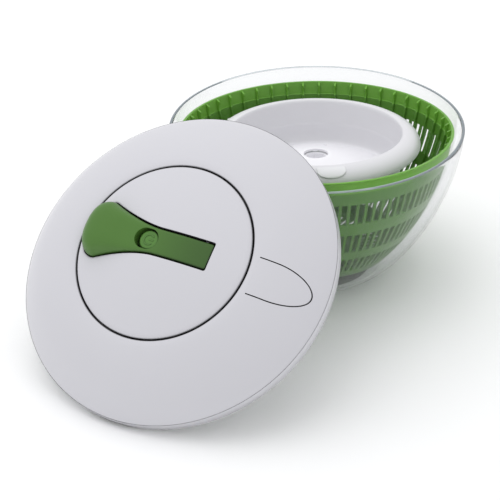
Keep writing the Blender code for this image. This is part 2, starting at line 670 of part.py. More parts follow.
def planet_phase(angle):
    """Turn of a planet, from the line out of the middle, that puts a tooth in the ring's space there."""
    pitch = 2 * math.pi / RING_TEETH
    away = math.radians(angle) % pitch
    if away > pitch / 2:
        away -= pitch
    return -away * RING_TEETH / PLANET_TEETH


def sun_phase():
    """Turn of the sun that puts a space at the planet's inner side, for the planet at the first angle."""
    angle = math.radians(PLANET_ANGLES[0])
    turn = angle + planet_phase(PLANET_ANGLES[0])
    # where the planet's nearest tooth or space stands from its inward direction
    inward = angle + math.pi
    pitch = 2 * math.pi / PLANET_TEETH
    away = (inward - turn) % pitch
    if away > pitch / 2:
        away -= pitch
    # a planet tooth stands `away` before the inward line, so a sun space must stand this far past the outward line
    sun_space = angle + away * PLANET_TEETH / SUN_TEETH
    return sun_space + math.pi / SUN_TEETH


# ---------------------------------------------------------------- handle

def handle_heights(x):
    """(underside, top) of the handle at x."""
    low = RECESS_Z + 0.6
    if x > HINGE_X - 9:
        low = HINGE_Z - 4.2
    flush = LID_TOP - 0.2 + DISC_RISE
    bulb = [(0, -2.4), (3, 1.6), (8, 4.1), (18, 6.1), (28, 5.3), (40, 2.9)]
    stations = [(HANDLE_TIP + along, flush + rise) for along, rise in bulb]
    stations += [(-18, flush + 1.0), (0, flush + 0.2), (20, flush - 0.9), (HANDLE_END, disc_z(HANDLE_END) - 0.5)]
    for (x0, z0), (x1, z1) in zip(stations, stations[1:]):
        if x <= x1:
            return low, z0 + (z1 - z0) * (x - x0) / (x1 - x0)
    return low, stations[-1][1]


def make_handle():
    xs = [HANDLE_TIP + along for along in (0.4, 2.5, 5, 9, 14, 18, 25, 32, 39, 45)]
    xs += [-20, -10, 2, 14, HINGE_X - 9.2, HINGE_X - 8.8, HINGE_X - 2, HANDLE_END]
    points, rings = [], []
    for x in xs:
        low, top = handle_heights(x)
        half = handle_half(x) if x > xs[0] else 5.0
        rise = top - low
        corner = min(4.5, rise * 0.4, half * 0.5)
        ring = [(-half + corner * 0.4, low), (half - corner * 0.4, low), (half, low + corner * 0.5),
                (half, top - corner), (half - corner * 0.35, top - corner * 0.35), (half - corner, top),
                (0, top + 0.5), (-half + corner, top), (-half + corner * 0.35, top - corner * 0.35),
                (-half, top - corner), (-half, low + corner * 0.5)]
        rings.append(list(range(len(points), len(points) + len(ring))))
        points += [(x, y + HANDLE_SIDE, z) for y, z in ring]
    size = len(rings[0])
    faces = [rings[0][::-1], rings[-1]]
    for ring, after in zip(rings, rings[1:]):
        faces += [[ring[i], ring[(i + 1) % size], after[(i + 1) % size], after[i]] for i in range(size)]
    handle = solid("handle", points, faces, LID)
    bore = rod("bore", PIN_RADIUS + GAP, (HINGE_X, -20, HINGE_Z), (HINGE_X, 20, HINGE_Z), 12, LID)
    side = HANDLE_SIDE
    join(handle, rod("boss", 11.0, (BUTTON_X, side, BOSS_LOW), (BUTTON_X, side, 42), 24, LID))
    hole = BUTTON_RADIUS + BUTTON_ROOM
    well = rod("well", hole, (BUTTON_X, side, WELL_LOW), (BUTTON_X, side, 60), 24, LID)
    niche = rod("niche", hole, (BUTTON_X - BUTTON_NICHE, side, WELL_LOW + 4.0), (BUTTON_X - BUTTON_NICHE, side, 60), 24,
                LID)
    stem = rod("stem", 3.0 + GAP, (BUTTON_X, side, 30), (BUTTON_X, side, 60), 14, LID)
    cut(handle, bore, well, niche, stem)
    reach = HANDLE_NECK + 2.7
    rod("handle_hinge_pin", PIN_RADIUS, (HINGE_X, side - reach, HINGE_Z), (HINGE_X, side + reach, HINGE_Z), 14, LID)
    at = LID @ Matrix.Translation((BUTTON_X * 0.001, side * 0.001, 0))
    face = handle_heights(BUTTON_X)[1] - BUTTON_SINK
    low = face - 2.2
    lathe("handle_button", [(0, BOSS_LOW + 0.4), (2.4, BOSS_LOW + 0.4), (3.0, BOSS_LOW + 1.0), (3.0, low), (BUTTON_RADIUS, low),
                            (BUTTON_RADIUS, face - 0.7), (BUTTON_RADIUS - 0.8, face), (0, face + 0.2)], 24, at)
    wire = 0.3
    coil("button_spring", 5.2, wire, WELL_LOW + BUTTON_TRAVEL + GAP + wire, low - GAP - wire, 2, at)


def coil(name, radius, wire, low, high, turns, frame):
    """A spring as one round bar wound up."""
    steps, sides = 12 * turns, 5
    points, faces = [], []
    for i in range(steps + 1):
        angle = 2 * math.pi * turns * i / steps
        z = low + (high - low) * i / steps
        for k in range(sides):
            around = 2 * math.pi * k / sides
            r = radius + wire * math.cos(around)
            points.append((r * math.cos(angle), r * math.sin(angle), z + wire * math.sin(around)))
    for i in range(steps):
        for k in range(sides):
            n = (k + 1) % sides
            faces.append([i * sides + k, i * sides + n, (i + 1) * sides + n, (i + 1) * sides + k])
    faces += [list(range(sides)), list(range(steps * sides, steps * sides + sides))[::-1]]
    return solid(name, points, faces, frame)


# ---------------------------------------------------------------- brake

def make_brake():
    hx, hz = BRAKE_HINGE
    outline = brake_outline(0.0)
    plate = prism("brake_lever", outline, 5.0, LID_TOP + 6, LID)
    radii = [60, 72, 76.5, 80, 87, 97, 108, 118, LID_RADIUS - 6, LID_RADIUS - 2]
    scale = (LID_RADIUS - DISC_RADIUS) / 60.3
    radii[3:8] = [DISC_RADIUS + (r - 74) * scale for r in radii[3:8]]
    surface = [(r, dome_z(r)) for r in radii]
    slab = lathe("slab", surface + offset(surface, -2.2)[::-1], 72, LID)
    step = plate.modifiers.new("step", "BOOLEAN")
    step.operation, step.solver, step.object = "INTERSECT", "EXACT", slab
    bpy.context.view_layer.update()
    graph = bpy.context.evaluated_depsgraph_get()
    made = bpy.data.meshes.new_from_object(plate.evaluated_get(graph))
    plate.modifiers.clear()
    plate.data = made
    bpy.data.objects.remove(slab)
    pad_face = NECK_OUTER + BRAKE_PAD_ROOM
    side = [(hx - 5, dome_z(hx - 5) - 1.0), (hx - 4.2, hz), (pad_face + 8, 22.5), (pad_face + 3.0, 21.5),
            (pad_face + 3.0, 16.5), (pad_face + 9, 16.5), (hx + 4.2, hz - 3), (hx + 6, dome_z(hx + 6) - 1.0)]
    points = [(x, y, z) for y in (-5.0, 5.0) for x, z in side]
    count = len(side)
    faces = [list(range(count)), list(range(count, 2 * count))[::-1]]
    faces += [[i, (i + 1) % count, count + (i + 1) % count, count + i] for i in range(count)]
    join(plate, solid("web", points, faces, LID))
    cut(plate, rod("bore", PIN_RADIUS + GAP, (hx, -20, hz), (hx, 20, hz), 12, LID))
    rod("brake_pin", PIN_RADIUS, (hx, -10.4, hz), (hx, 10.4, hz), 14, LID)
    box("brake_pad", (pad_face, -5.0, 16.8), (pad_face + 3.0 - GAP, 5.0, 21.2), LID)
    sx = (hx + BRAKE_END) / 2 - 0.1
    spring = LID @ Matrix.Translation((sx * 0.001, 0, 0))
    coil("brake_spring", 3.6, 0.5, COVER_Z + COVER_THICKNESS + 2.4, dome_z(sx + 5) - 2.2 - 1.0, 4, spring)


clear()
make_bowl()
make_column(make_basket())
make_dish()
shelf_bottom = make_lid_shell()
make_cover()
disc_bottom = make_disc()
make_gears(disc_bottom, shelf_bottom)
make_handle()
make_brake()
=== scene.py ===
"""Looks for the salad spinner: smooth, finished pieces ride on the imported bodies.

Lengths are in millimetres until mesh_of turns them into metres. Outlines are (r, z) lines turned about z.
"""

import json
import math

import bmesh
import bpy
import numpy as np
from mathutils import Matrix, Vector


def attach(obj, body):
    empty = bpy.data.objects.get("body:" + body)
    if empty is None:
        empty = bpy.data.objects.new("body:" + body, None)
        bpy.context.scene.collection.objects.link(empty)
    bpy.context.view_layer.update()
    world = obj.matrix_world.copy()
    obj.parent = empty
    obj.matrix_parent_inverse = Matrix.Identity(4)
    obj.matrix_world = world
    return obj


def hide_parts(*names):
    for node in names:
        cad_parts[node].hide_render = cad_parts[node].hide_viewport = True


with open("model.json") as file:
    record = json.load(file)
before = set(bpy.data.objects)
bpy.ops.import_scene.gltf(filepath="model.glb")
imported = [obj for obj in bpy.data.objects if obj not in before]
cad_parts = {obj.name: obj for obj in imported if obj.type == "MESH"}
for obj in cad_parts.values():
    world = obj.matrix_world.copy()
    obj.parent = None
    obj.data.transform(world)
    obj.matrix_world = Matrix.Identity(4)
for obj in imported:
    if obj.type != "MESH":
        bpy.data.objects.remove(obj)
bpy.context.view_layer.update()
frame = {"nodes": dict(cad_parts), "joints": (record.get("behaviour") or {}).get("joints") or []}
MM = 0.001
joints = {j["name"]: j for j in frame["joints"]}

# ---------------------------------------------------------------- sizes, as in the CAD

WALL = 2.5
BOWL_RADIUS, BOWL_HEIGHT, BOWL_BASE = 130.0, 140.0, 55.6
PAD_TOP, BOWL_LOW = 1.7, 2.0
POST_TIP, POST_RADIUS = 0.553 * BOWL_HEIGHT, 8.5
BASKET_RIM, BASKET_LOW = 134.0, 20.02
BASKET_ROOM, BASKET_WALL = 6.8, 1.4
BASKET_TIP = 3.5  # degrees that the basket tips on the post
SLOT_ROWS = ((111.5, 90.5), (78.5, 57.5), (47.5, 30.0))
PITCHES = 48  # one rib and two slots each
SLOT_SHARE = 0.33  # of a pitch
LEDGE_Z, LEDGE = 122.4, 0.55
COLUMN_DROP, COLUMN_BORE, COLUMN_WALL = 44.0, 9.5, 2.2
CUP_ROOF, CUP_DEPTH = 2.8, 13.0
DISH_RIM, DISH_FLOOR, DISH_HOLE = 131.5, 91.0, 110.0
DISH_RADIUS, COLLAR_RADIUS, COLLAR_DROP, DISH_WALL = 76.0, 92.5, 10.5, 2.2
COLLAR_ROUND = 1.6  # from the dish's inner edge out to where the collar starts
HOLE_RADIUS, HUB_LOW = 10.8, 90.3
TAB_ANGLE, TAB_HALF, TAB_RADIUS, TAB_REACH = -84.3, 12.6, 86.0, 5.6
LID_RADIUS, LID_SKIRT, LID_TOP = 134.3, 9.0, 39.6
DISC_RADIUS, DISC_GAP, DISC_RISE = 74.0, 1.0, 10.5
SHELF_Z, SHELF_LOW, NECK_OUTER = 33.0, 30.7, 61.0
COVER_Z, COVER_TOP, COVER_INSET = 10.0, 12.0, 7.8
GROOVE_WIDTH, GROOVE = 3.0, 0.6
BUSH_RADIUS, BUSH_BORE = 7.7, 5.3
SPINDLE_DROP, SPINDLE_RADIUS, PLANET_REACH = 42.0, 5.0, 30.0
HANDLE_END, HANDLE_TIP, HANDLE_SIDE = 44.0, -72.0, 2.8
HANDLE_NECK, HANDLE_BULB = 11.5, 24.4
BULB_LENGTH, BULB_POWER = 17.5, 2.3  # the bulb's half is a rounded oval of this length and power
BULB_X, NECK_X = HANDLE_TIP + BULB_LENGTH, -2.0
END_ROUND = 2.2
HINGE_X, HINGE_Z, HINGE_BORE = 36.0, 42.5, 2.3
BUTTON_X, BUTTON_RADIUS, BUTTON_ROOM, BUTTON_NICHE, BUTTON_SINK = -10.5, 8.2, 0.6, 2.8, 2.2
RECESS_Z, BOSS_LOW, WELL_LOW = 37.6, 35.0, 37.2
BRAKE_HALF, BRAKE_START, BRAKE_END, BRAKE_ROUND = 15.0, 80.5, 124.2, 29.0
BRAKE_HINGE_X, BRAKE_HINGE_Z = 86.0, 28.5
SLIT = 0.95  # between the tongue and the shell
SHARP = 38.0  # degrees: edges sharper than this are shaded as edges
TINY = 1e-6


def bowl_radius(z):
    """Outer radius of the bowl at the height z."""
    depth = min(max((BOWL_HEIGHT - z) / BOWL_HEIGHT, 0.0), 1.0)
    return BOWL_BASE + (BOWL_RADIUS - BOWL_BASE) * (1 - depth**1.67) ** (1 / 1.35)


def dome_z(r):
    """Height of the lid's dome at the radius r, over the lid's own lowest edge."""
    share = (r - DISC_RADIUS) / (LID_RADIUS - DISC_RADIUS)
    return LID_SKIRT + (LID_TOP - LID_SKIRT) * (1 - min(max(share, 0.0), 1.0) ** 1.55) ** 0.8


def disc_z(r):
    """Height of the crank disc's domed top."""
    return LID_TOP - 0.2 + DISC_RISE * (1 - (r / DISC_RADIUS) ** 2)


def basket_radius(z):
    """Outer radius of the basket, an even gap in from the bowl's wall."""
    slope = bowl_radius(z + 0.5) - bowl_radius(z - 0.5)
    return bowl_radius(z) - (WALL + BASKET_ROOM) * math.hypot(1.0, slope)


# ---------------------------------------------------------------- frames, from the record's joints

def frame_from(origin, z_axis, y_axis):
    """The frame at the origin with this z axis, and the y axis as near to the one given as can be."""
    z = Vector(z_axis).normalized()
    x = Vector(y_axis).cross(z).normalized()
    turn = Matrix((x, z.cross(x), z)).transposed().to_4x4()
    return Matrix.Translation(Vector(origin)) @ turn


def axis_of(joint):
    return joints[joint]["axis"]


LID = frame_from(joints["crank_spin"]["pos_m"], axis_of("crank_spin"), axis_of("handle_fold"))
TIP = Vector(joints["basket_spin"]["pos_m"])
TIPPED = frame_from(TIP, axis_of("basket_spin"), (0, 1, 0)) @ Matrix.Translation((0, 0, -TIP.z))
UPRIGHT = Matrix.Identity(4)

# ---------------------------------------------------------------- mesh helpers


def mesh_of(name, points, faces, place, sharp=SHARP):
    """An object of these points (mm) and faces, shaded smooth but for its sharp edges."""
    mesh = bpy.data.meshes.new(name)
    mesh.from_pydata([Vector(p) * MM for p in points], [], faces)
    body = bmesh.new()
    body.from_mesh(mesh)
    bmesh.ops.remove_doubles(body, verts=body.verts, dist=2e-6)
    bmesh.ops.dissolve_degenerate(body, edges=body.edges, dist=1e-7)
    bmesh.ops.recalc_face_normals(body, faces=body.faces)
    body.to_mesh(mesh)
    body.free()
    made = bpy.data.objects.new(name, mesh)
    bpy.context.scene.collection.objects.link(made)
    made.matrix_world = place
    shade(made, sharp)
    return made


def shade(thing, sharp):
    mesh = thing.data
    mesh.polygons.foreach_set("use_smooth", [True] * len(mesh.polygons))
    mesh.set_sharp_from_angle(angle=math.radians(sharp))


def fillet(line, radius, steps=5):
    """The closed outline with its corners rounded, but for those that turn by under 18 degrees.

    radius is one number, or {index: number} with 0 for the corners it leaves out.
    """
    out, count = [], len(line)
    for k, point in enumerate(line):
        reach = radius.get(k, 0.0) if isinstance(radius, dict) else radius
        here = Vector(point)
        if reach <= 0 or here.x < TINY:
            out.append(point)
            continue
        back, on = Vector(line[k - 1]) - here, Vector(line[(k + 1) % count]) - here
        if back.length < TINY or on.length < TINY:
            out.append(point)
            continue
        inside = back.angle(on)
        if math.pi - inside < math.radians(18):
            out.append(point)
            continue
        along = min(reach / math.tan(inside / 2), 0.45 * back.length, 0.45 * on.length)
        start, end = here + back.normalized() * along, here + on.normalized() * along
        for i in range(steps + 1):
            t = i / steps
            spot = start * (1 - t) ** 2 + here * 2 * t * (1 - t) + end * t**2
            out.append((spot.x, spot.y))
    return out


def turned(profile, steps):
    """Points and faces of the closed outline turned about z."""
    points, rings = [], []
    angles = [2 * math.pi * i / steps for i in range(steps)]
    for r, z in profile:
        if r < TINY:
            rings.append([len(points)] * steps)
            points.append((0.0, 0.0, z))
            continue
        rings.append(range(len(points), len(points) + steps))
        points += [(r * math.cos(a), r * math.sin(a), z) for a in angles]
    faces = []
    for k, ring in enumerate(rings):
        after = rings[(k + 1) % len(rings)]
        if profile[k][0] < TINY and profile[(k + 1) % len(rings)][0] < TINY:
            continue
        for i in range(steps):
            j = (i + 1) % steps
            face = list(dict.fromkeys((ring[i], ring[j], after[j], after[i])))
            if len(face) > 2:
                faces.append(face)
    return points, faces


def lathe(name, profile, steps, place, sharp=SHARP):
    return mesh_of(name, *turned(profile, steps), place, sharp)


def prism(name, outline, low, high, place):
    """The (x, y) outline raised from low to high."""
    count = len(outline)
    points = [(x, y, low) for x, y in outline] + [(x, y, high) for x, y in outline]
    faces = [list(range(count))[::-1], list(range(count, 2 * count))]
    faces += [[i, (i + 1) % count, count + (i + 1) % count, count + i] for i in range(count)]
    return mesh_of(name, points, faces, place)


def block(name, low, high, place):
    (x0, y0, z0), (x1, y1, z1) = low, high
    return prism(name, [(x0, y0), (x1, y0), (x1, y1), (x0, y1)], z0, z1, place)


def at(place, x, y, z=0.0):
    """The frame moved by x, y and z along its own axes."""
    return place @ Matrix.Translation((x * MM, y * MM, z * MM))


def around(radius, degrees):
    a = math.radians(degrees)
    return radius * math.cos(a), radius * math.sin(a)


def peg(name, radius, x, y, low, high, place, steps=48):
    return lathe(name, [(0, low), (radius, low), (radius, high), (0, high)], steps, at(place, x, y))


def cross_peg(name, radius, x, z, half, place, side=0.0):
    """A round bar along the frame's y axis."""
    turn = at(place, x, side, z) @ Matrix.Rotation(math.pi / 2, 4, "X")
    return lathe(name, [(0, -half), (radius, -half), (radius, half), (0, half)], 32, turn)


def applied(thing):
    """Writes the thing's one modifier into its mesh."""
    bpy.context.view_layer.update()
    made = bpy.data.meshes.new_from_object(thing.evaluated_get(bpy.context.evaluated_depsgraph_get()))
    thing.modifiers.clear()
    thing.data = made


def combine(target, tools, how, sharp=SHARP):
    for tool in tools:
        step = target.modifiers.new("step", "BOOLEAN")
        step.operation, step.solver, step.object = how, "EXACT", tool
        applied(target)
        bpy.data.objects.remove(tool)
    shade(target, sharp)
    return target


def cut(target, *tools, sharp=SHARP):
    return combine(target, tools, "DIFFERENCE", sharp)


def join(target, *tools, sharp=SHARP):
    return combine(target, tools, "UNION", sharp)


def ease(thing, width):
    """Rounds the sharp edges a little, as moulded edges are."""
    step = thing.modifiers.new("ease", "BEVEL")
    step.width, step.segments = width * MM, 2
    step.limit_method, step.angle_limit = "ANGLE", math.radians(50)
    step.use_clamp_overlap = True
    step.miter_outer = "MITER_ARC"
    applied(thing)
    shade(thing, 40)


def moved(line, distance):
    """The open line moved to its left."""
    out = []
    for k, (r, z) in enumerate(line):
        before, after = line[max(k - 1, 0)], line[min(k + 1, len(line) - 1)]
        dr, dz = after[0] - before[0], after[1] - before[1]
        size = math.hypot(dr, dz)
        out.append((r - dz / size * distance, z + dr / size * distance))
    return out


def through(stations, count):
    """A smooth curve through the stations (Catmull-Rom), with this many points to a stretch."""
    pts = [Vector(p) for p in stations]
    pts = [pts[0] * 2 - pts[1]] + pts + [pts[-1] * 2 - pts[-2]]
    out = []
    for a, b, c, d in zip(pts, pts[1:], pts[2:], pts[3:]):
        for i in range(count):
            t = i / count
            spot = 0.5 * (2 * b + (c - a) * t + (2 * a - 5 * b + 4 * c - d) * t**2
                          + (3 * b - a - 3 * c + d) * t**3)
            out.append(tuple(spot))
    return out + [tuple(pts[-2])]


def level(x, stations):
    """Smooth height at x through (x, height) stations."""
    for k in range(len(stations) - 1):
        (x0, y0), (x1, y1) = stations[k], stations[k + 1]
        if x <= x1 or k == len(stations) - 2:
            before = stations[max(k - 1, 0)]
            after = stations[min(k + 2, len(stations) - 1)]
            m0 = (y1 - before[1]) / (x1 - before[0]) * (x1 - x0)
            m1 = (after[1] - y0) / (after[0] - x0) * (x1 - x0)
            t = min(max((x - x0) / (x1 - x0), 0.0), 1.0)
            return ((2 * t**3 - 3 * t**2 + 1) * y0 + (t**3 - 2 * t**2 + t) * m0
                    + (3 * t**2 - 2 * t**3) * y1 + (t**3 - t**2) * m1)


# ---------------------------------------------------------------- materials

PLASTIC_IOR = 1.46
DRIFT_SCALE, CLEAR_SCALE = 14.0, 18.0  # noise cells to a metre
GAP_SHADE_POWER, GAP_SHADE_COLOUR = 2.2, 0.02  # how fast and how far the painted shade in a gap darkens

def noise(tree, scale, detail=2.0):
    """Noise over the piece, with this many cells to a metre."""
    made = tree.nodes.new("ShaderNodeTexNoise")
    made.inputs["Scale"].default_value = scale
    made.inputs["Detail"].default_value = detail
    place = tree.nodes.new("ShaderNodeTexCoord")
    tree.links.new(place.outputs["Object"], made.inputs["Vector"])
    return made.outputs["Fac"]


def colour_mix(tree, low, high, factor, blend="MIX"):
    """A mix of two colours. low, high and factor are sockets or values."""
    mix = tree.nodes.new("ShaderNodeMix")
    mix.data_type, mix.blend_type = "RGBA", blend
    for socket, value in (("A", low), ("B", high), ("Factor", factor)):
        if isinstance(value, bpy.types.NodeSocket):
            tree.links.new(value, mix.inputs[socket])
        else:
            mix.inputs[socket].default_value = value if socket == "Factor" else (*value, 1)
    return mix.outputs["Result"]


def spread(tree, source, low, high, start=0.0, end=1.0, kind="LINEAR"):
    """The source's values from start to end, spread from low to high."""
    made = tree.nodes.new("ShaderNodeMapRange")
    made.interpolation_type = kind
    for socket, value in (("From Min", start), ("From Max", end), ("To Min", low), ("To Max", high)):
        made.inputs[socket].default_value = value
    tree.links.new(source, made.inputs["Value"])
    return made.outputs["Result"]


def bumped(tree, source, distance, strength):
    """Links the source to the shader's normal, as a bump this deep (in metres)."""
    bump = tree.nodes.new("ShaderNodeBump")
    bump.inputs["Distance"].default_value = distance
    bump.inputs["Strength"].default_value = strength
    tree.links.new(source, bump.inputs["Height"])
    tree.links.new(bump.outputs["Normal"], tree.nodes["Principled BSDF"].inputs["Normal"])


def material(name, colour, rough, grain=0.0, grain_size=0.4, drift=0.03, rough_drift=0.06, metallic=0.0,
             subsurface=0.0, soft=None, specular=0.5, shade_in=0.0):
    """Moulded plastic, rubber or metal.

    grain is the bump's depth and grain_size its scale, in mm. drift is the share by which the colour
    wanders. Corners and gaps within shade_in mm get painted shade: ambient occlusion darkens their colour.
    """
    made = bpy.data.materials.new(name)
    made.use_nodes = True
    tree = made.node_tree
    link = tree.links.new
    shader = tree.nodes["Principled BSDF"]
    shader.inputs["Metallic"].default_value = metallic
    shader.inputs["IOR"].default_value = PLASTIC_IOR
    shader.inputs["Specular IOR Level"].default_value = specular
    if subsurface:
        shader.inputs["Subsurface Weight"].default_value = subsurface
        shader.inputs["Subsurface Radius"].default_value = soft
        shader.inputs["Subsurface Scale"].default_value = 0.002
    wide = noise(tree, DRIFT_SCALE, 3.0)
    dark, light = [c * (1 - drift) for c in colour], [min(c * (1 + drift), 1.0) for c in colour]
    tint = colour_mix(tree, dark, light, wide)
    # painted shade: ambient occlusion darkens the colour in corners and gaps, where shade falls
    if shade_in:
        gap = tree.nodes.new("ShaderNodeAmbientOcclusion")
        gap.samples = 8
        gap.inputs["Distance"].default_value = shade_in * MM
        depth = tree.nodes.new("ShaderNodeMath")
        depth.operation = "POWER"
        depth.inputs[1].default_value = GAP_SHADE_POWER
        link(gap.outputs["AO"], depth.inputs[0])
        tint = colour_mix(tree, [c * GAP_SHADE_COLOUR for c in colour], tint, depth.outputs[0])
    link(tint, shader.inputs["Base Color"])
    link(spread(tree, wide, max(rough - rough_drift, 0.02), rough + rough_drift), shader.inputs["Roughness"])
    bumped(tree, noise(tree, 1.0 / (grain_size * MM)), grain * MM, 1.0)
    return made


def local_place(tree, frame_matrix):
    """The socket that holds the shaded point in the given frame."""
    back = frame_matrix.inverted()
    place = tree.nodes.new("ShaderNodeTexCoord")
    turned_back = tree.nodes.new("ShaderNodeMapping")
    turned_back.inputs["Rotation"].default_value = back.to_euler("XYZ")
    turned_back.inputs["Location"].default_value = back.to_translation()
    tree.links.new(place.outputs["Object"], turned_back.inputs["Vector"])
    return turned_back.outputs["Vector"]


def banded(made, frame_matrix, axis, start, end, lower, upper):
    """Multiplies the material's colour by lower up to start and by upper from end, in mm on an axis."""
    tree = made.node_tree
    base = tree.nodes["Principled BSDF"].inputs["Base Color"]
    source = base.links[0].from_socket
    split = tree.nodes.new("ShaderNodeSeparateXYZ")
    tree.links.new(local_place(tree, frame_matrix), split.inputs["Vector"])
    step = spread(tree, split.outputs[axis], 0.0, 1.0, start * MM, end * MM, "SMOOTHSTEP")
    tone = colour_mix(tree, lower, upper, step)
    tree.links.new(colour_mix(tree, source, tone, 1.0, "MULTIPLY"), base)


def ringed(made, frame_matrix, radius, blur, inside):
    """Multiplies the material's colour by inside, within the radius round the frame's z axis."""
    tree = made.node_tree
    link = tree.links.new
    base = tree.nodes["Principled BSDF"].inputs["Base Color"]
    source = base.links[0].from_socket
    flat = tree.nodes.new("ShaderNodeVectorMath")
    flat.operation = "MULTIPLY"
    flat.inputs[1].default_value = (1, 1, 0)
    link(local_place(tree, frame_matrix), flat.inputs[0])
    far = tree.nodes.new("ShaderNodeVectorMath")
    far.operation = "LENGTH"
    link(flat.outputs["Vector"], far.inputs[0])
    low, high = (radius - blur) * MM, (radius + blur) * MM
    step = spread(tree, far.outputs["Value"], inside, 1.0, low, high, "SMOOTHSTEP")
    grade = tree.nodes.new("ShaderNodeVectorMath")
    grade.operation = "SCALE"
    link(source, grade.inputs[0])
    link(step, grade.inputs["Scale"])
    link(grade.outputs["Vector"], base)


def clear_plastic(name):
    """Clear, glossy plastic. Lamps shine through it, so that what it holds isn't in the dark."""
    made = bpy.data.materials.new(name)
    made.use_nodes = True
    tree = made.node_tree
    nodes, link = tree.nodes, tree.links.new
    shader = nodes["Principled BSDF"]
    shader.inputs["Base Color"].default_value = (0.89, 0.895, 0.90, 1)
    shader.inputs["Specular Tint"].default_value = (0.45, 0.47, 0.5, 1)
    shader.inputs["Transmission Weight"].default_value = 1.0
    shader.inputs["IOR"].default_value = PLASTIC_IOR
    wide = noise(tree, CLEAR_SCALE)
    link(spread(tree, wide, 0.01, 0.05), shader.inputs["Roughness"])
    bumped(tree, wide, 0.1 * MM, 0.25)
    path = nodes.new("ShaderNodeLightPath")
    lamps = nodes.new("ShaderNodeMath")
    lamps.operation = "MAXIMUM"
    link(path.outputs["Is Shadow Ray"], lamps.inputs[0])
    link(path.outputs["Is Diffuse Ray"], lamps.inputs[1])
    open_way = nodes.new("ShaderNodeBsdfTransparent")
    open_way.inputs["Color"].default_value = (0.97, 0.98, 0.98, 1)
    mix = nodes.new("ShaderNodeMixShader")
    link(lamps.outputs[0], mix.inputs["Fac"])
    link(shader.outputs["BSDF"], mix.inputs[1])
    link(open_way.outputs["BSDF"], mix.inputs[2])
    link(mix.outputs["Shader"], nodes["Material Output"].inputs["Surface"])
    return made


GREEN = (0.14, 0.36, 0.04)
SAME = (1.0, 1.0, 1.0)

# the lid, handle, button and steel looks get painted shade in their corners and gaps (shade_in)
lid_white = material("lid_white", (0.60, 0.595, 0.63), 0.26, grain=0.006, grain_size=0.9, drift=0.012,
                     rough_drift=0.04, shade_in=3.0)
dish_white = material("dish_white", (0.70, 0.695, 0.72), 0.3, grain=0.008, grain_size=0.7, drift=0.012)
# painted light: the dish's floor, within 70 mm of its axis, is painted 1.24 times lighter than its walls, as
# it faces the light from above
ringed(dish_white, TIPPED, 70.0, 2.0, 1.24)
under_white = material("under_white", (0.80, 0.80, 0.82), 0.42, grain=0.02, grain_size=0.5, drift=0.02)
tab_white = material("tab_white", (0.78, 0.78, 0.80), 0.12, grain=0.015, grain_size=1.6)
handle_green = material("handle_green", (0.069, 0.172, 0.026), 0.4, grain=0.02, grain_size=0.35, shade_in=3.0)
# painted shade: the handle is painted darker from x = -30 mm on to its neck's end, where it looks darker
# under the light
banded(handle_green, LID, "X", -30.0, 52.0, SAME, (0.55, 0.56, 0.62))
button_green = material("button_green", (0.085, 0.215, 0.036), 0.38, grain=0.02, grain_size=0.35,
                        shade_in=2.0)
basket_green = material("basket_green", GREEN, 0.34, grain=0.015, grain_size=0.6, drift=0.06,
                        subsurface=0.12, soft=(0.6, 1.0, 0.3))
# painted shade: the basket is painted darker below the ledge at about 122 mm, where the dish's collar shades
# it
banded(basket_green, TIPPED, "Z", 121.8, 122.8, (0.58, 0.62, 0.62), SAME)
inner_green = material("inner_green", GREEN, 0.38, grain=0.015, grain_size=0.6, drift=0.05)
clear = clear_plastic("clear_plastic_look")
# painted reflection: a half-clear grey-blue diffuse that stands in for the light caught in the bowl's thick
# rim
rim_painted_reflection = material("clear_rim_painted_reflection", (0.50, 0.56, 0.60), 0.12, grain=0.01, grain_size=0.8, drift=0.02)
rim_painted_reflection.node_tree.nodes["Principled BSDF"].inputs["Alpha"].default_value = 0.5
rubber = material("rubber_grey", (0.045, 0.05, 0.042), 0.75, grain=0.06, grain_size=0.35, drift=0.05,
                  specular=0.3)
nylon = material("nylon_cream", (0.78, 0.77, 0.72), 0.5, grain=0.02)
steel = material("steel_plain", (0.62, 0.62, 0.64), 0.28, grain=0.01, grain_size=0.15, drift=0.05,
                 metallic=1.0, shade_in=4.0)


def finish(piece, body, slot, look, *nodes):
    """Gives a piece its look and its body, and hides the CAD nodes that it stands for; slot is not used."""
    piece.data.transform(piece.matrix_world)
    piece.matrix_world = Matrix.Identity(4)
    piece.data.materials.clear()
    piece.data.materials.append(look)
    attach(piece, body)
    if nodes:
        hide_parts(*nodes)
    return piece


# ---------------------------------------------------------------- bowl

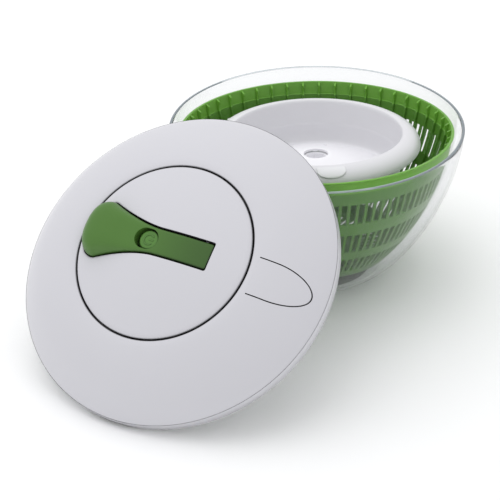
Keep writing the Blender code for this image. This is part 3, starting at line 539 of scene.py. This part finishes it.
def make_bowl():
    top = BOWL_HEIGHT - 1.2
    heights = [BOWL_LOW + (top - BOWL_LOW) * (k / 60) ** 1.8 for k in range(61)]
    outer = [(bowl_radius(z), z) for z in heights]
    floor = BOWL_LOW + WALL
    inner = [(r, z) for r, z in moved(outer, WALL) if z > floor + 0.35 and z < top - 1.0]
    lip = bowl_radius(BOWL_HEIGHT)
    rim = [(lip, BOWL_HEIGHT - 0.7), (lip - 0.35, BOWL_HEIGHT - 0.15), (lip - 1.0, BOWL_HEIGHT),
           (lip - WALL + 0.8, BOWL_HEIGHT), (lip - WALL + 0.2, BOWL_HEIGHT - 0.3),
           (lip - WALL, BOWL_HEIGHT - 1.0)]
    foot = outer[0][0]
    profile = [(0, BOWL_LOW), (foot - 6, BOWL_LOW), (foot - 2, BOWL_LOW + 0.02)] + outer + rim + inner[::-1]
    profile += [(inner[0][0] - 3, floor + 0.1), (inner[0][0] - 7, floor), (0, floor)]
    bowl = lathe("clear_bowl", profile, 256, UPRIGHT, 50)
    finish(bowl, "bowl", "clear_plastic", clear, "bowl")
    bowl.data.materials.append(rim_painted_reflection)  # painted reflection: the rim's faces get a half-clear grey-blue look in place of the light that the thick clear edge reflects and bends
    for face in bowl.data.polygons:
        face.material_index = int(face.center.z > (BOWL_HEIGHT - 1.6) * MM)
    pad = BOWL_BASE - 4
    ring = fillet([(0, 0.5), (pad - 12, 0.5), (pad - 12, 0), (pad, 0), (pad, PAD_TOP), (0, PAD_TOP)], 0.35)
    finish(lathe("base_pad", ring, 128, UPRIGHT), "bowl", "grey_rubber", rubber, "nonslip_base_pad")
    low, tip = floor + 0.3, POST_TIP
    post = fillet([(0, low), (15.5, low), (15.5, low + 2), (9.4, low + 3.2), (POST_RADIUS, low + 6),
                   (4.2, tip - 3.5), (2.9, tip - 1.0), (0, tip)], {1: 0.3, 2: 0.7, 3: 2.5, 5: 2.0, 6: 1.5})
    finish(lathe("centre_post", post, 96, UPRIGHT), "bowl", "clear_plastic", clear, "bowl_centre_post")


# ---------------------------------------------------------------- basket

RIB_HEIGHTS = [(18, 1.0), (40, 1.5), (100, 1.8), (120, 2.0), (127, 2.2), (128.5, 3.1), (131.4, 3.2),
               (132.6, 2.0), (133.3, 0.0)]  # how far a rib stands out at these heights


def basket_levels():
    """Heights from the rim down to the floor's edge, with both ends of each slot row among them."""
    heights = [133.6, 133.0, 132.2, 131.2, 129.8, 127.5, 125.0, 123.0, 122.5, 122.0, 119.5, 116.5, 113.5,
               112.2]
    for high, low in SLOT_ROWS:
        if heights[-1] - high > 4:
            gap = heights[-1] - high
            heights += [heights[-1] - gap * t for t in (0.25, 0.5, 0.75)]
        heights += [high + (low - high) * t for t in (0.0, 0.25, 0.5, 0.75, 1.0)]
    heights += [27.5, 25.0, 23.2, 21.8, 20.9]
    return heights


def make_basket():
    """The basket as a grid: one line down its outside, one down its inside, and columns round it."""
    heights = basket_levels()
    outer = [(basket_radius(z), z) for z in heights]
    inner = moved(outer, -BASKET_WALL)
    inner = [(min(a[0], b[0] - 0.5), a[1]) for a, b in zip(inner, outer)]
    # the lower band's inner face stands a little proud, which makes the ledge under the rim
    inner = [(r - (LEDGE if z < LEDGE_Z else 0.0), z) for r, z in inner]
    opened = [any(low + 0.01 < z <= high for high, low in SLOT_ROWS) for z in heights]
    rib = [level(z, RIB_HEIGHTS) if z < 133.2 else 0.0 for z in heights]
    out_r, in_r, edge = outer[0][0], inner[0][0], outer[-1][0]
    # these close the rim, from the outside to the inside
    rim = [(out_r + 0.9, 133.1), (out_r + 1.2, 133.5), (out_r + 0.9, 133.9), (out_r + 0.3, 134.0),
           (in_r + 0.5, 134.0), (in_r + 0.1, 133.85)]
    floor_r = [edge - 4.0, edge - 9.0, 40.0, 33.0, 24.0, 19.4, 19.0]
    outside = [(out_r, 132.4)] + outer[3:] + [(r, BASKET_LOW) for r in floor_r]
    inside = [(in_r, 133.3)] + inner[3:] + [(r, BASKET_LOW + BASKET_WALL) for r in floor_r]
    ribs = [0.0] + rib[3:] + [0.9, 0.0, 0.0, 0.0, 0.0, 0.0, 0.0]
    open_wall = [False] + opened[3:] + [False] * 7
    open_floor = [False] * (len(outside) - 7) + [False, True, True, False, False, False, False]
    # columns across one pitch: (share of the pitch, share of the rib's height, whether a slot starts there)
    half, slot = 0.5, SLOT_SHARE
    columns = [(0.0, 0, True), (slot, 0, False), (slot + 0.012, 0, False), (slot + 0.022, 0.85, False),
               (slot + 0.045, 1, False), (slot + 0.12, 1, False), (slot + 0.143, 0.85, False),
               (slot + 0.156, 0, False), (half, 0, True), (half + slot, 0, False),
               (half + slot + 0.09, 0, False)]
    across = [(p + share, height, opening) for p in range(PITCHES) for share, height, opening in columns]
    turn = 2 * math.pi / PITCHES
    count = len(across)
    points, faces = [], []
    for layer, line in enumerate((outside, inside)):
        for k, (r, z) in enumerate(line):
            for share, height, _ in across:
                reach = r - (ribs[k] * height if layer else 0.0)
                points.append((reach * math.cos(share * turn), reach * math.sin(share * turn), z))
    base = len(points)
    for r, z in rim:
        points += [(r * math.cos(share * turn), r * math.sin(share * turn), z) for share, _, _ in across]
    size = len(outside)

    def at_grid(layer, k, j):
        return (layer * size + k) * count + j % count

    def is_open(k, j):
        """Whether the cell below line k and after column j is part of a slot."""
        j %= count
        return across[j][2] and open_wall[k] or open_floor[k] and (j % len(columns)) < 8

    for k in range(size - 1):
        for j in range(count):
            m, n = k + 1, j + 1
            if not is_open(k, j):
                faces.append([at_grid(0, k, j), at_grid(0, k, n), at_grid(0, m, n), at_grid(0, m, j)])
                faces.append([at_grid(1, k, j), at_grid(1, m, j), at_grid(1, m, n), at_grid(1, k, n)])
                continue
            if not is_open(k - 1, j):
                faces.append([at_grid(0, k, j), at_grid(0, k, n), at_grid(1, k, n), at_grid(1, k, j)])
            if not is_open(m, j):
                faces.append([at_grid(0, m, j), at_grid(0, m, n), at_grid(1, m, n), at_grid(1, m, j)])
            if not is_open(k, j - 1):
                faces.append([at_grid(0, k, j), at_grid(0, m, j), at_grid(1, m, j), at_grid(1, k, j)])
            if not is_open(k, n):
                faces.append([at_grid(0, k, n), at_grid(0, m, n), at_grid(1, m, n), at_grid(1, k, n)])
    rings = [lambda j: at_grid(0, 0, j)]
    rings += [lambda j, i=i: base + i * count + j % count for i in range(len(rim))]
    rings += [lambda j: at_grid(1, 0, j)]
    for a, b in zip(rings, rings[1:]):
        faces += [[a(j), a(j + 1), b(j + 1), b(j)] for j in range(count)]
    faces += [[at_grid(0, size - 1, j), at_grid(0, size - 1, j + 1), at_grid(1, size - 1, j + 1),
               at_grid(1, size - 1, j)] for j in range(count)]
    basket = mesh_of("slotted_basket", points, faces, TIPPED, 40)
    finish(basket, "basket", "green_plastic", basket_green, "basket")


def make_column():
    """The hollow column, wide enough at its foot to tip about the post's tip."""
    floor, top = BASKET_LOW + BASKET_WALL + 0.3, BASKET_RIM - COLUMN_DROP
    cup_top, cup_low = POST_TIP + CUP_ROOF, POST_TIP - CUP_DEPTH
    bore, wall = COLUMN_BORE, COLUMN_WALL
    foot = max(POST_RADIUS + (POST_TIP - floor) * math.tan(math.radians(BASKET_TIP)) + 0.6, bore)
    profile = fillet([(foot + wall, floor), (foot + wall + 6, floor), (foot + wall + 6, floor + 2.2),
                      (foot + wall, floor + 5), (bore + wall, cup_low - 2), (bore + wall, top), (0, top),
                      (0, cup_top + 0.3), (bore, cup_top + 0.3), (bore, cup_low - 2), (foot, floor)],
                     {1: 0.4, 2: 0.8, 3: 3.0, 4: 3.0, 5: 1.0, 8: 0.4})
    finish(lathe("column", profile, 96, TIPPED), "basket", "green_plastic", inner_green, "basket_column")


# ---------------------------------------------------------------- dish

def dish_line():
    """The dish's upper side, from the centre hole out over the rim to the collar's lower edge."""
    valley = DISH_RADIUS * 0.90
    line = [(HOLE_RADIUS, DISH_HOLE - 0.7), (HOLE_RADIUS + 0.2, DISH_HOLE - 0.2),
            (HOLE_RADIUS + 0.8, DISH_HOLE)]
    for k in range(1, 15):
        part = k / 15
        r = HOLE_RADIUS + (valley - HOLE_RADIUS) * part
        line.append((r, DISH_HOLE - (DISH_HOLE - DISH_FLOOR) * part**1.2))
    line += through([(valley, DISH_FLOOR + 0.3), (valley + 2.6, DISH_FLOOR + 1.6),
                     (valley + 4.4, DISH_FLOOR + 4.6), (valley + 5.4, DISH_FLOOR + 9.5),
                     (valley + 5.9, 108.6)], 5)
    line += through([(DISH_RADIUS - 1.35, 109.6), (DISH_RADIUS - 1.1, 113.0), (DISH_RADIUS - 0.5, 122.0),
                     (DISH_RADIUS - 0.1, 128.5)], 4)
    line += through([(DISH_RADIUS + 0.25, 130.4), (DISH_RADIUS + 0.85, DISH_RIM - 0.3),
                     (DISH_RADIUS + COLLAR_ROUND, DISH_RIM)], 4)
    width = COLLAR_RADIUS - DISH_RADIUS - COLLAR_ROUND
    for k in range(1, 25):
        a = math.pi / 2 * k / 24
        z = DISH_RIM - (COLLAR_DROP + 0.4) * (1 - math.cos(a) ** 1.1)
        line.append((DISH_RADIUS + COLLAR_ROUND + width * math.sin(a), z))
    line.append((COLLAR_RADIUS - 0.15, DISH_RIM - COLLAR_DROP - 1.8))
    line.append((COLLAR_RADIUS - 0.5, DISH_RIM - COLLAR_DROP - 2.5))
    return line


def make_dish():
    line = dish_line()
    below = moved(line, -DISH_WALL)
    below[0] = (line[0][0], line[0][1] - DISH_WALL + 0.7)
    below[-1] = (line[-1][0] - DISH_WALL + 0.5, line[-1][1])
    clean = [below[0]]
    for point in below[1:]:
        if math.hypot(point[0] - clean[-1][0], point[1] - clean[-1][1]) > 0.25:
            clean.append(point)
    shell = lathe("inner_dish_shell", line + clean[::-1], 224, TIPPED, 45)
    finish(shell, "dish", "white_plastic", dish_white, "inner_dish")
    top, low = DISH_HOLE - DISH_WALL - 1.2, HUB_LOW
    radius = HOLE_RADIUS + 2.6
    hub = lathe("hub", fillet([(0, low), (radius, low), (radius, top), (0, top)], 0.5), 96, TIPPED)
    key = lathe("key", [(0, low - 1), (6.5, low - 1), (6.5, low + 4.6), (0, low + 4.6)], 6, TIPPED)
    across = HOLE_RADIUS - 1.4
    socket = lathe("socket", [(0, low + 7.4), (across, low + 7.4), (across, top - 0.6),
                              (across + 0.6, top + 1), (0, top + 1)], 8, TIPPED)
    finish(cut(hub, key, socket), "dish", "white_plastic", dish_white, "dish_hub_socket")
    make_tab()


def make_tab():
    """The half-oval clip on the front of the dish's collar."""
    points, faces = [], []
    across, down = 41, 13  # points along it and down it
    middle, half = math.radians(TAB_ANGLE), TAB_HALF / TAB_RADIUS
    width = COLLAR_RADIUS - DISH_RADIUS - COLLAR_ROUND
    for layer in (0, 1):
        for i in range(across):
            share = -1 + 2 * i / (across - 1)
            reach = TAB_REACH * max(1 - abs(share) ** 2.2, 0.0) ** 0.5
            for k in range(down):
                part = k / (down - 1)
                drop = 0.5 + reach * part + 0.05
                lean = 1 - min(drop / COLLAR_DROP, 1.0)
                side = math.sqrt(1 - lean**2)
                rim_share = min((1 - abs(share)) * 9, (1 - part) * 9 + 0.3, 1.0)
                lift = (0.45 + 0.5 * math.sin(math.pi / 2 * rim_share)) if layer else 0.1
                size = math.hypot(side + 0.05, lean + 0.25)
                r = DISH_RADIUS + COLLAR_ROUND + width * side + (side + 0.05) / size * lift
                z = DISH_RIM - drop + (lean + 0.25) / size * lift
                a = middle + share * half
                points.append((r * math.cos(a), r * math.sin(a), z))
    count = across * down

    def spot(layer, i, k):
        return layer * count + i * down + k

    for i in range(across - 1):
        for k in range(down - 1):
            faces.append([spot(0, i, k), spot(0, i + 1, k), spot(0, i + 1, k + 1), spot(0, i, k + 1)])
            faces.append([spot(1, i, k), spot(1, i, k + 1), spot(1, i + 1, k + 1), spot(1, i + 1, k)])
        for k in (0, down - 1):
            faces.append([spot(0, i, k), spot(0, i + 1, k), spot(1, i + 1, k), spot(1, i, k)])
    for k in range(down - 1):
        for i in (0, across - 1):
            faces.append([spot(0, i, k), spot(0, i, k + 1), spot(1, i, k + 1), spot(1, i, k)])
    tab = mesh_of("finger_tab", points, faces, TIPPED)
    finish(tab, "dish", "white_plastic", tab_white, "dish_finger_tab")


# ---------------------------------------------------------------- lid

WELL_RADIUS = DISC_RADIUS + DISC_GAP
SCREW_SPOTS = [around(DISC_RADIUS - 1.5, a) for a in range(30, 360, 60)]


def shell_z(r):
    """The dome, with a soft roll down into the gap round the disc."""
    return dome_z(r) - 0.75 * math.exp(-(((r - WELL_RADIUS) / 3.2) ** 2))


def brake_outline(side, start, end):
    """Plan of the brake's tongue, grown sideways and at its round end."""
    half = BRAKE_HALF + side
    round_x = BRAKE_END - BRAKE_ROUND
    line = [(start, -half)]
    for i in range(49):
        a = -math.pi / 2 + math.pi * i / 48
        line.append((round_x + (BRAKE_ROUND + end) * math.cos(a), half * math.sin(a)))
    return line + [(start, half)]


def shell_profile():
    well = WELL_RADIUS
    shares = [math.cos(math.pi / 2 * k / 46) for k in range(47)]
    dome = [(well + 1.4 + (LID_RADIUS - well - 1.4) * s, 0) for s in shares]
    dome = [(r, shell_z(r)) for r, _ in dome]
    dome[0] = (LID_RADIUS, LID_SKIRT + 0.5)
    edge = [(LID_RADIUS - 0.3, 0), (LID_RADIUS, 0.4), (LID_RADIUS, LID_SKIRT - 0.3)]
    lip = [(well + 0.95, shell_z(well + 0.95) - 0.06), (well + 0.6, shell_z(well + 0.6) - 0.35),
           (well + 0.4, shell_z(well + 0.4) - 0.9), (well + 0.1, shell_z(well) - 3.0)]
    neck = NECK_OUTER + 1.0
    shelf = [(well, SHELF_Z), (neck, SHELF_Z), (neck, SHELF_LOW), (well + WALL, SHELF_LOW)]
    inner = [(r, z) for r, z in moved(dome, WALL) if r > well + WALL + 1 and z > COVER_TOP + 0.4]
    inner = [(well + WALL, dome_z(well + WALL) - WALL * 1.25)] + inner[::-1]
    rim = LID_RADIUS - WALL - 0.3
    inner += [(rim, COVER_Z + 0.3), (rim, 0.4), (rim + 0.3, 0)]
    return edge + dome + lip + shelf + inner


def make_shell():
    shell = lathe("dome_shell", shell_profile(), 240, LID, 40)
    bosses = [peg("boss", 3.9, x, y, COVER_TOP + 0.3, SHELF_Z - 0.8, LID, 24) for x, y in SCREW_SPOTS]
    holes = [peg("hole", 1.9, x, y, COVER_Z, 24.0, LID, 16) for x, y in SCREW_SPOTS]
    slit = prism("slit", brake_outline(SLIT, BRAKE_START - 0.01, SLIT), 11.0, LID_TOP + 5, LID)
    join(shell, *bosses)
    cut(shell, slit, *holes, sharp=40)
    finish(shell, "lid", "white_plastic", lid_white, "lid_shell")


def make_lever():
    """The tongue, a slab of the dome, with a web below it that holds the hinge's bore and the pad."""
    hx, hz = BRAKE_HINGE_X, BRAKE_HINGE_Z
    plate = prism("brake_tongue", brake_outline(0.0, BRAKE_START, 0.0), 5.0, LID_TOP + 6, LID)
    radii = np.linspace(DISC_RADIUS + 1.5, LID_RADIUS - 1.0, 48)
    surface = [(float(r), shell_z(float(r))) for r in radii]
    slab = lathe("slab", surface + moved(surface, -2.2)[::-1], 240, LID)
    combine(plate, [slab], "INTERSECT")
    pad = NECK_OUTER + 0.85
    side = [(hx - 5, dome_z(hx - 5) - 1.2), (hx - 4.2, hz), (pad + 8, 22.5), (pad + 3.0, 21.5),
            (pad + 3.0, 16.5), (pad + 9, 16.5), (hx + 4.2, hz - 3), (hx + 6, dome_z(hx + 6) - 1.2)]
    count = len(side)
    points = [(x, y, z) for y in (-5.0, 5.0) for x, z in side]
    faces = [list(range(count)), list(range(count, 2 * count))[::-1]]
    faces += [[i, (i + 1) % count, count + (i + 1) % count, count + i] for i in range(count)]
    join(plate, mesh_of("web", points, faces, LID))
    cut(plate, cross_peg("bore", HINGE_BORE, hx, hz, 20, LID), sharp=40)
    finish(plate, "brake", "white_plastic", lid_white, "brake_lever")


def make_underside():
    bush, edge = BUSH_RADIUS, LID_RADIUS - COVER_INSET
    line = [(bush + 0.3, COVER_Z)]
    for r in (20, 64, 104):  # rings pressed into the cover
        out, high = r + GROOVE_WIDTH, COVER_Z + GROOVE
        line += [(r, COVER_Z), (r + GROOVE, high), (out - GROOVE, high), (out, COVER_Z)]
    line += [(edge, COVER_Z), (edge, COVER_TOP), (bush + 0.3, COVER_TOP)]
    cover = lathe("under_cover", fillet(line, 0.3, steps=3), 192, LID)
    hx, hz = BRAKE_HINGE_X, BRAKE_HINGE_Z
    ears = [block("ear", (hx - 4, y, COVER_TOP - 1), (hx + 4, y + 3, hz + 2.6), LID) for y in (-10.0, 7.0)]
    join(cover, *ears)
    holes = [cross_peg("hole", HINGE_BORE, hx, hz, 20, LID)]
    holes += [peg("hole", 1.8, x, y, COVER_Z - 1, COVER_TOP + 1, LID, 20) for x, y in SCREW_SPOTS]
    planets = [around(PLANET_REACH, a) for a in (30, 150, 270)]
    holes += [peg("hole", 2.5, x, y, COVER_Z - 1, COVER_TOP + 1, LID, 24) for x, y in planets]
    cut(cover, *holes)
    finish(cover, "lid", "white_plastic", under_white, "lid_under_cover")
    out = LID_RADIUS - WALL - 0.3 - 0.45
    low, high = COVER_Z - 2.3, COVER_Z - 0.3
    seal = fillet([(edge - 2, low), (out, low), (out, high), (edge - 2, high)], 0.8, steps=6)
    finish(lathe("seal_ring", seal, 192, LID), "lid", "grey_rubber", rubber, "lid_seal_ring")
    low = COVER_Z - 2.5
    sleeve = fillet([(BUSH_BORE, low), (bush + 2, low), (bush + 2, high), (bush, high), (bush, COVER_TOP),
                     (BUSH_BORE, COVER_TOP)], 0.4)
    finish(lathe("bush_sleeve", sleeve, 64, LID), "lid", "nylon", nylon, "spindle_bush")
    make_screws()
    make_spindle()


def make_screws():
    z = COVER_Z
    profile = fillet([(0, z - 2.4), (2.0, z - 2.3), (3.2, z - 1.3), (3.2, z - 0.3), (1.5, z - 0.3),
                      (1.5, 22.0), (0, 23.0)], {1: 0.6, 2: 0.5, 3: 0.2})
    for number, (x, y) in enumerate(SCREW_SPOTS, 1):
        spot = at(LID, x, y)
        head = lathe("screw_%d" % number, profile, 40, spot)
        arms = [block("arm", (-1.7, -0.35, z - 3), (1.7, 0.35, z - 1.4), spot),
                block("arm", (-0.35, -1.7, z - 3), (0.35, 1.7, z - 1.4), spot)]
        finish(cut(head, *arms), "lid", "steel", steel, "cover_screw_%d" % number)


def make_spindle():
    end, top, radius = COVER_Z - SPINDLE_DROP, 20.2, SPINDLE_RADIUS
    profile = fillet([(0, end), (3.5, end), (radius, end + 2), (radius, top), (4, top), (4, 30.2), (0, 30.2)],
                     {1: 0.6, 2: 0.8})
    shaft = lathe("spindle", profile, 64, LID)
    across = HOLE_RADIUS - 2.0
    driver = lathe("driver", [(0, end + 1), (across - 0.7, end + 1), (across, end + 2.0), (across, end + 8.4),
                              (across - 0.6, end + 9), (0, end + 9)], 8, LID)
    join(shaft, driver, sharp=30)
    finish(shaft, "sun", "nylon", nylon, "drive_spindle")


# ---------------------------------------------------------------- crank, handle, button

FLUSH = LID_TOP - 0.2 + DISC_RISE
HANDLE_TOPS = [(HANDLE_TIP, 54.0), (-64, 55.6), (-54, 56.0), (-44, 55.0), (-32, FLUSH + 2.7),
               (-18, FLUSH + 0.9), (0, FLUSH + 0.2), (20, FLUSH - 0.9),
               (HANDLE_END, disc_z(HANDLE_END) - 0.5)]  # the top's height along the handle
HANDLE_LOW = RECESS_Z + 0.6


def handle_half(x):
    """Half of the handle's width at x."""
    if x >= NECK_X:
        return HANDLE_NECK
    if x >= BULB_X:
        return HANDLE_NECK + (HANDLE_BULB - HANDLE_NECK) * ((NECK_X - x) / (NECK_X - BULB_X)) ** 1.6
    share = min((BULB_X - x) / BULB_LENGTH, 1.0)
    return HANDLE_BULB * (1 - share**BULB_POWER) ** (1 / BULB_POWER)


def handle_outline(grow):
    """Plan of the handle's recess, grown outwards."""
    end, half, corner = HANDLE_END + grow, HANDLE_NECK + grow, 1.8
    upper = [(end - corner * (1 - math.cos(a)), half - corner * (1 - math.sin(a)))
             for a in np.linspace(0, math.pi / 2, 8)]
    steps = 60
    for i in range(3, steps):
        x = HANDLE_END - 1.5 + (BULB_X - HANDLE_END + 1.5) * i / steps
        upper.append((x, handle_half(x) + grow))
    for i in range(33):
        a = math.pi / 2 * i / 32
        share, wide = math.sin(a) ** (2 / BULB_POWER), math.cos(a) ** (2 / BULB_POWER)
        upper.append((BULB_X - (BULB_LENGTH + grow) * share, (HANDLE_BULB + grow) * wide))
    upper = upper[:-1] + [(upper[-1][0], 0.0)]
    return [(x, y + HANDLE_SIDE) for x, y in upper + [(x, -y) for x, y in upper[-2::-1]]]


def make_disc():
    low, out = SHELF_Z + 2.6, DISC_RADIUS
    radii = np.linspace(out - 1.2, 3.0, 26)
    top = [(float(r), disc_z(float(r))) for r in radii]
    edge = [(out, disc_z(out) - 1.1), (out - 0.12, disc_z(out) - 0.55), (out - 0.5, disc_z(out) - 0.15)]
    profile = [(0, low), (out - 3, low), (out - 3, SHELF_Z + 0.4), (out, SHELF_Z + 0.4)]
    disc = lathe("disc", profile + edge + top + [(0, disc_z(0))], 240, LID)
    side, tub_low = HANDLE_SIDE, HINGE_Z - 11.5
    tub = block("tub", (HINGE_X - 12.5, side - 15.5, tub_low), (HANDLE_END + 4.5, side + 15.5, low + 1.0),
                LID)
    join(disc, tub, peg("boss", 15.0, BUTTON_X, side, BOSS_LOW - 5.5, low + 1.0, LID),
         peg("pivot", 8.0, 0, 0, 22.0, low + 1.0, LID))
    room = HANDLE_NECK + 0.8
    recess = prism("recess", handle_outline(0.8), RECESS_Z, LID_TOP + 30, LID)
    pocket = block("pocket", (HINGE_X - 10.0, side - room, tub_low + 2.0),
                   (HANDLE_END + 0.8, side + room, RECESS_Z + 0.4), LID)
    holes = [peg("well", 12.0, BUTTON_X, side, BOSS_LOW - 3.0, LID_TOP + 20, LID),
             peg("bore", 4.3, 0, 0, 18, 30.5, LID),
             cross_peg("hinge", HINGE_BORE, HINGE_X, HINGE_Z, HANDLE_NECK + 3.1, LID, side)]
    screws = [around(NECK_OUTER - 3.2, a) for a in (90, 210, 330)]
    holes += [peg("hole", 1.6, x, y, low - 1, low + 2.2, LID, 16) for x, y in screws]
    cut(disc, recess, pocket, *holes)
    ease(disc, 0.35)
    finish(disc, "crank", "white_plastic", lid_white, "crank_disc")


def handle_point(x, t):
    """Height of the handle's top at x and share t of its half width."""
    # the section goes from nearly square on the neck to round on the bulb
    bulb = min(max((-8.0 - x) / (-8.0 - BULB_X), 0.0), 1.0)
    bulb = bulb * bulb * (3 - 2 * bulb)
    power, root = 14.0 + (3.6 - 14.0) * bulb**0.45, 3.0 + (2.6 - 3.0) * bulb
    u, p = max((BULB_X - x) / BULB_LENGTH, 0.0), BULB_POWER
    rho = min((u**p + abs(t) ** p * (1 - u**p)) ** (1 / p) if u > 0 else abs(t), 1.0)
    fall = (1 - rho**power) ** (1 / root)
    end = max((x - HANDLE_END + END_ROUND) / END_ROUND, 0.0)
    fall *= max(1 - end**5, 0.0) ** (1 / 3) * 0.3 + 0.7 if end > 0 else 1.0
    return HANDLE_LOW + (level(x, HANDLE_TOPS) - HANDLE_LOW) * fall


def make_handle():
    xs = [HANDLE_TIP + BULB_LENGTH * (1 - math.sin(math.pi / 2 * k / 26)) for k in range(26, 0, -1)]
    xs += [BULB_X + (HANDLE_END - END_ROUND - BULB_X) * k / 70 for k in range(71)]
    xs += [HANDLE_END - END_ROUND + END_ROUND * math.sin(math.pi / 2 * k / 8) for k in range(1, 9)]
    shares = [math.sin(math.pi / 2 * (-1 + 2 * k / 44)) for k in range(45)]
    points, rings = [], []
    for x in xs:
        low = HANDLE_LOW if x <= HINGE_X - 9 else HINGE_Z - 4.2
        half = handle_half(x)
        if x > HANDLE_END - END_ROUND:
            half -= 1.7 * (1 - math.sqrt(max(1 - ((x - HANDLE_END + END_ROUND) / END_ROUND) ** 2, 0.0)))
        ring = [(x, t * half, handle_point(x, t)) for t in shares]
        if x > BULB_X - BULB_LENGTH + 0.5:
            ring[0] = (x, -half, ring[0][2] + 0.02)
            ring[-1] = (x, half, ring[-1][2] + 0.02)
        ring += [(x, t * half, low) for t in (1.0, 0.5, 0.0, -0.5, -1.0)]
        rings.append(list(range(len(points), len(points) + len(ring))))
        points += [(px, py + HANDLE_SIDE, pz) for px, py, pz in ring]
    size = len(rings[0])
    faces = [rings[0][::-1], rings[-1]]
    for ring, after in zip(rings, rings[1:]):
        faces += [[ring[i], ring[(i + 1) % size], after[(i + 1) % size], after[i]] for i in range(size)]
    handle = mesh_of("crank_handle", points, faces, LID, 50)
    side = HANDLE_SIDE
    join(handle, peg("boss", 11.0, BUTTON_X, side, BOSS_LOW, 42, LID))
    hole = BUTTON_RADIUS + BUTTON_ROOM
    # the niche is cut first: walls that coincide with the well's would leave gaps in the mesh
    well = peg("well", hole - 0.03, BUTTON_X + 0.01, side, WELL_LOW, 59, LID, 76)
    turns = [2 * math.pi * k / 80 for k in range(80)]
    oval = [(BUTTON_X + hole * math.cos(a) - (BUTTON_NICHE if math.cos(a) < -TINY else 0.0),
             side + hole * math.sin(a)) for a in turns]
    niche = prism("niche", oval, WELL_LOW + 4.0, 60, LID)
    cut(handle, cross_peg("bore", HINGE_BORE, HINGE_X, HINGE_Z, 20, LID), niche, well,
        peg("stem", 3.3, BUTTON_X, side, 30, 58, LID, 32), sharp=42)
    finish(handle, "handle", "green_plastic", handle_green, "handle")


def make_button():
    face = level(BUTTON_X, HANDLE_TOPS) - BUTTON_SINK
    low, place = face - 2.2, at(LID, BUTTON_X, HANDLE_SIDE)
    foot, wide = BOSS_LOW + 0.4, BUTTON_RADIUS
    cap = fillet([(0, foot), (2.4, foot), (3.0, BOSS_LOW + 1.0), (3.0, low), (wide, low), (wide, face - 0.5),
                  (wide - 0.9, face - 0.05), (wide - 1.6, face), (4, face + 0.1), (0, face + 0.15)],
                 {4: 0.3, 5: 0.5, 6: 0.5})
    button = lathe("push_button", cap, 96, place)
    # a raised bar in an open ring: the common sign of a switch
    bar = block("bar", (-0.1, -0.45, face - 0.5), (4.0, 0.45, face + 0.38), place)
    ring = [around(4.6, a) for a in range(40, 321, 10)] + [around(3.8, a) for a in range(320, 39, -10)]
    mark = prism("mark", ring, face - 0.5, face + 0.38, place)
    join(button, bar, mark)
    finish(button, "button", "green_plastic", button_green, "handle_button")


# ---------------------------------------------------------------- the pieces that keep their CAD shape

def dress_cad():
    """Every CAD node gets a finished look, also those that no piece replaces."""
    for name, thing in frame["nodes"].items():
        if name.startswith(("sun", "planet_gear", "ring_gear", "basket_bearing", "drive_spindle",
                            "spindle_bush")):
            look = nylon
        elif "pad" in name or "seal" in name:
            look = rubber
        elif "screw" in name or "pin" in name or "spring" in name:
            look = steel
        elif name in ("bowl", "bowl_centre_post"):
            look = clear
        elif name.startswith(("basket", "drive_key", "handle")):
            look = inner_green
        else:
            look = under_white
        thing.data.materials.clear()
        thing.data.materials.append(look)


# ---------------------------------------------------------------- stage

DISTANCE = 1250.0  # from the camera to the middle of the bowl's rim
DOWN, ROLL = math.radians(30.34), math.radians(-1.315)
LENS, SENSOR = 102.13, 36.0
AIM_RIGHT, AIM_UP = 58.3, 111.5  # where the rim's middle lies from the picture's middle


def make_camera():
    ahead = Vector((0, math.cos(DOWN), -math.sin(DOWN)))
    up = Vector((0, math.sin(DOWN), math.cos(DOWN)))
    right = Vector((1, 0, 0))
    across = math.cos(ROLL) * right + math.sin(ROLL) * up
    upward = -math.sin(ROLL) * right + math.cos(ROLL) * up
    place = Vector((0, 0, BOWL_HEIGHT)) - (ahead * DISTANCE + across * AIM_RIGHT + upward * AIM_UP)
    data = bpy.data.cameras.new("camera")
    data.lens, data.sensor_width = LENS, SENSOR
    data.clip_start, data.clip_end = 0.05, 50.0
    camera = bpy.data.objects.new("camera", data)
    turn = Matrix((across, upward, -ahead)).transposed().to_4x4()
    camera.matrix_world = Matrix.Translation(place * MM) @ turn
    bpy.context.scene.collection.objects.link(camera)
    bpy.context.scene.camera = camera


def make_light():
    """A wide soft light over the object, aimed at the middle of the floor."""
    data = bpy.data.lights.new("over", "AREA")
    data.shape, data.size, data.size_y = "RECTANGLE", 2.2, 2.0
    data.energy = 15.0
    light = bpy.data.objects.new("over", data)
    place = Vector((-0.45, 0.4, 1.8))
    turn = (-place).to_track_quat("-Z", "Y").to_matrix().to_4x4()
    light.matrix_world = Matrix.Translation(place) @ turn
    bpy.context.scene.collection.objects.link(light)
    light.visible_glossy = False


def make_stage():
    scene = bpy.context.scene
    scene.view_settings.view_transform = "Standard"
    scene.view_settings.look = "None"
    world = bpy.data.worlds.new("studio")
    scene.world = world
    world.use_nodes = True
    sky = world.node_tree.nodes["Background"]
    sky.inputs["Color"].default_value = (0.985, 0.99, 1.0, 1)
    sky.inputs["Strength"].default_value = 0.88
    mesh = bpy.data.meshes.new("floor")
    span = 6.0
    corners = [(-span, -span, 0), (span, -span, 0), (span, span, 0), (-span, span, 0)]
    mesh.from_pydata(corners, [], [(0, 1, 2, 3)])
    floor = bpy.data.objects.new("floor", mesh)
    scene.collection.objects.link(floor)
    white = material("floor_white", (0.96, 0.96, 0.962), 0.85, grain=0.02, grain_size=2.0, drift=0.004)
    mesh.materials.append(white)
    make_light()


dress_cad()
make_bowl()
make_basket()
make_column()
make_dish()
make_shell()
make_lever()
make_underside()
make_disc()
make_handle()
make_button()
make_camera()
make_stage()
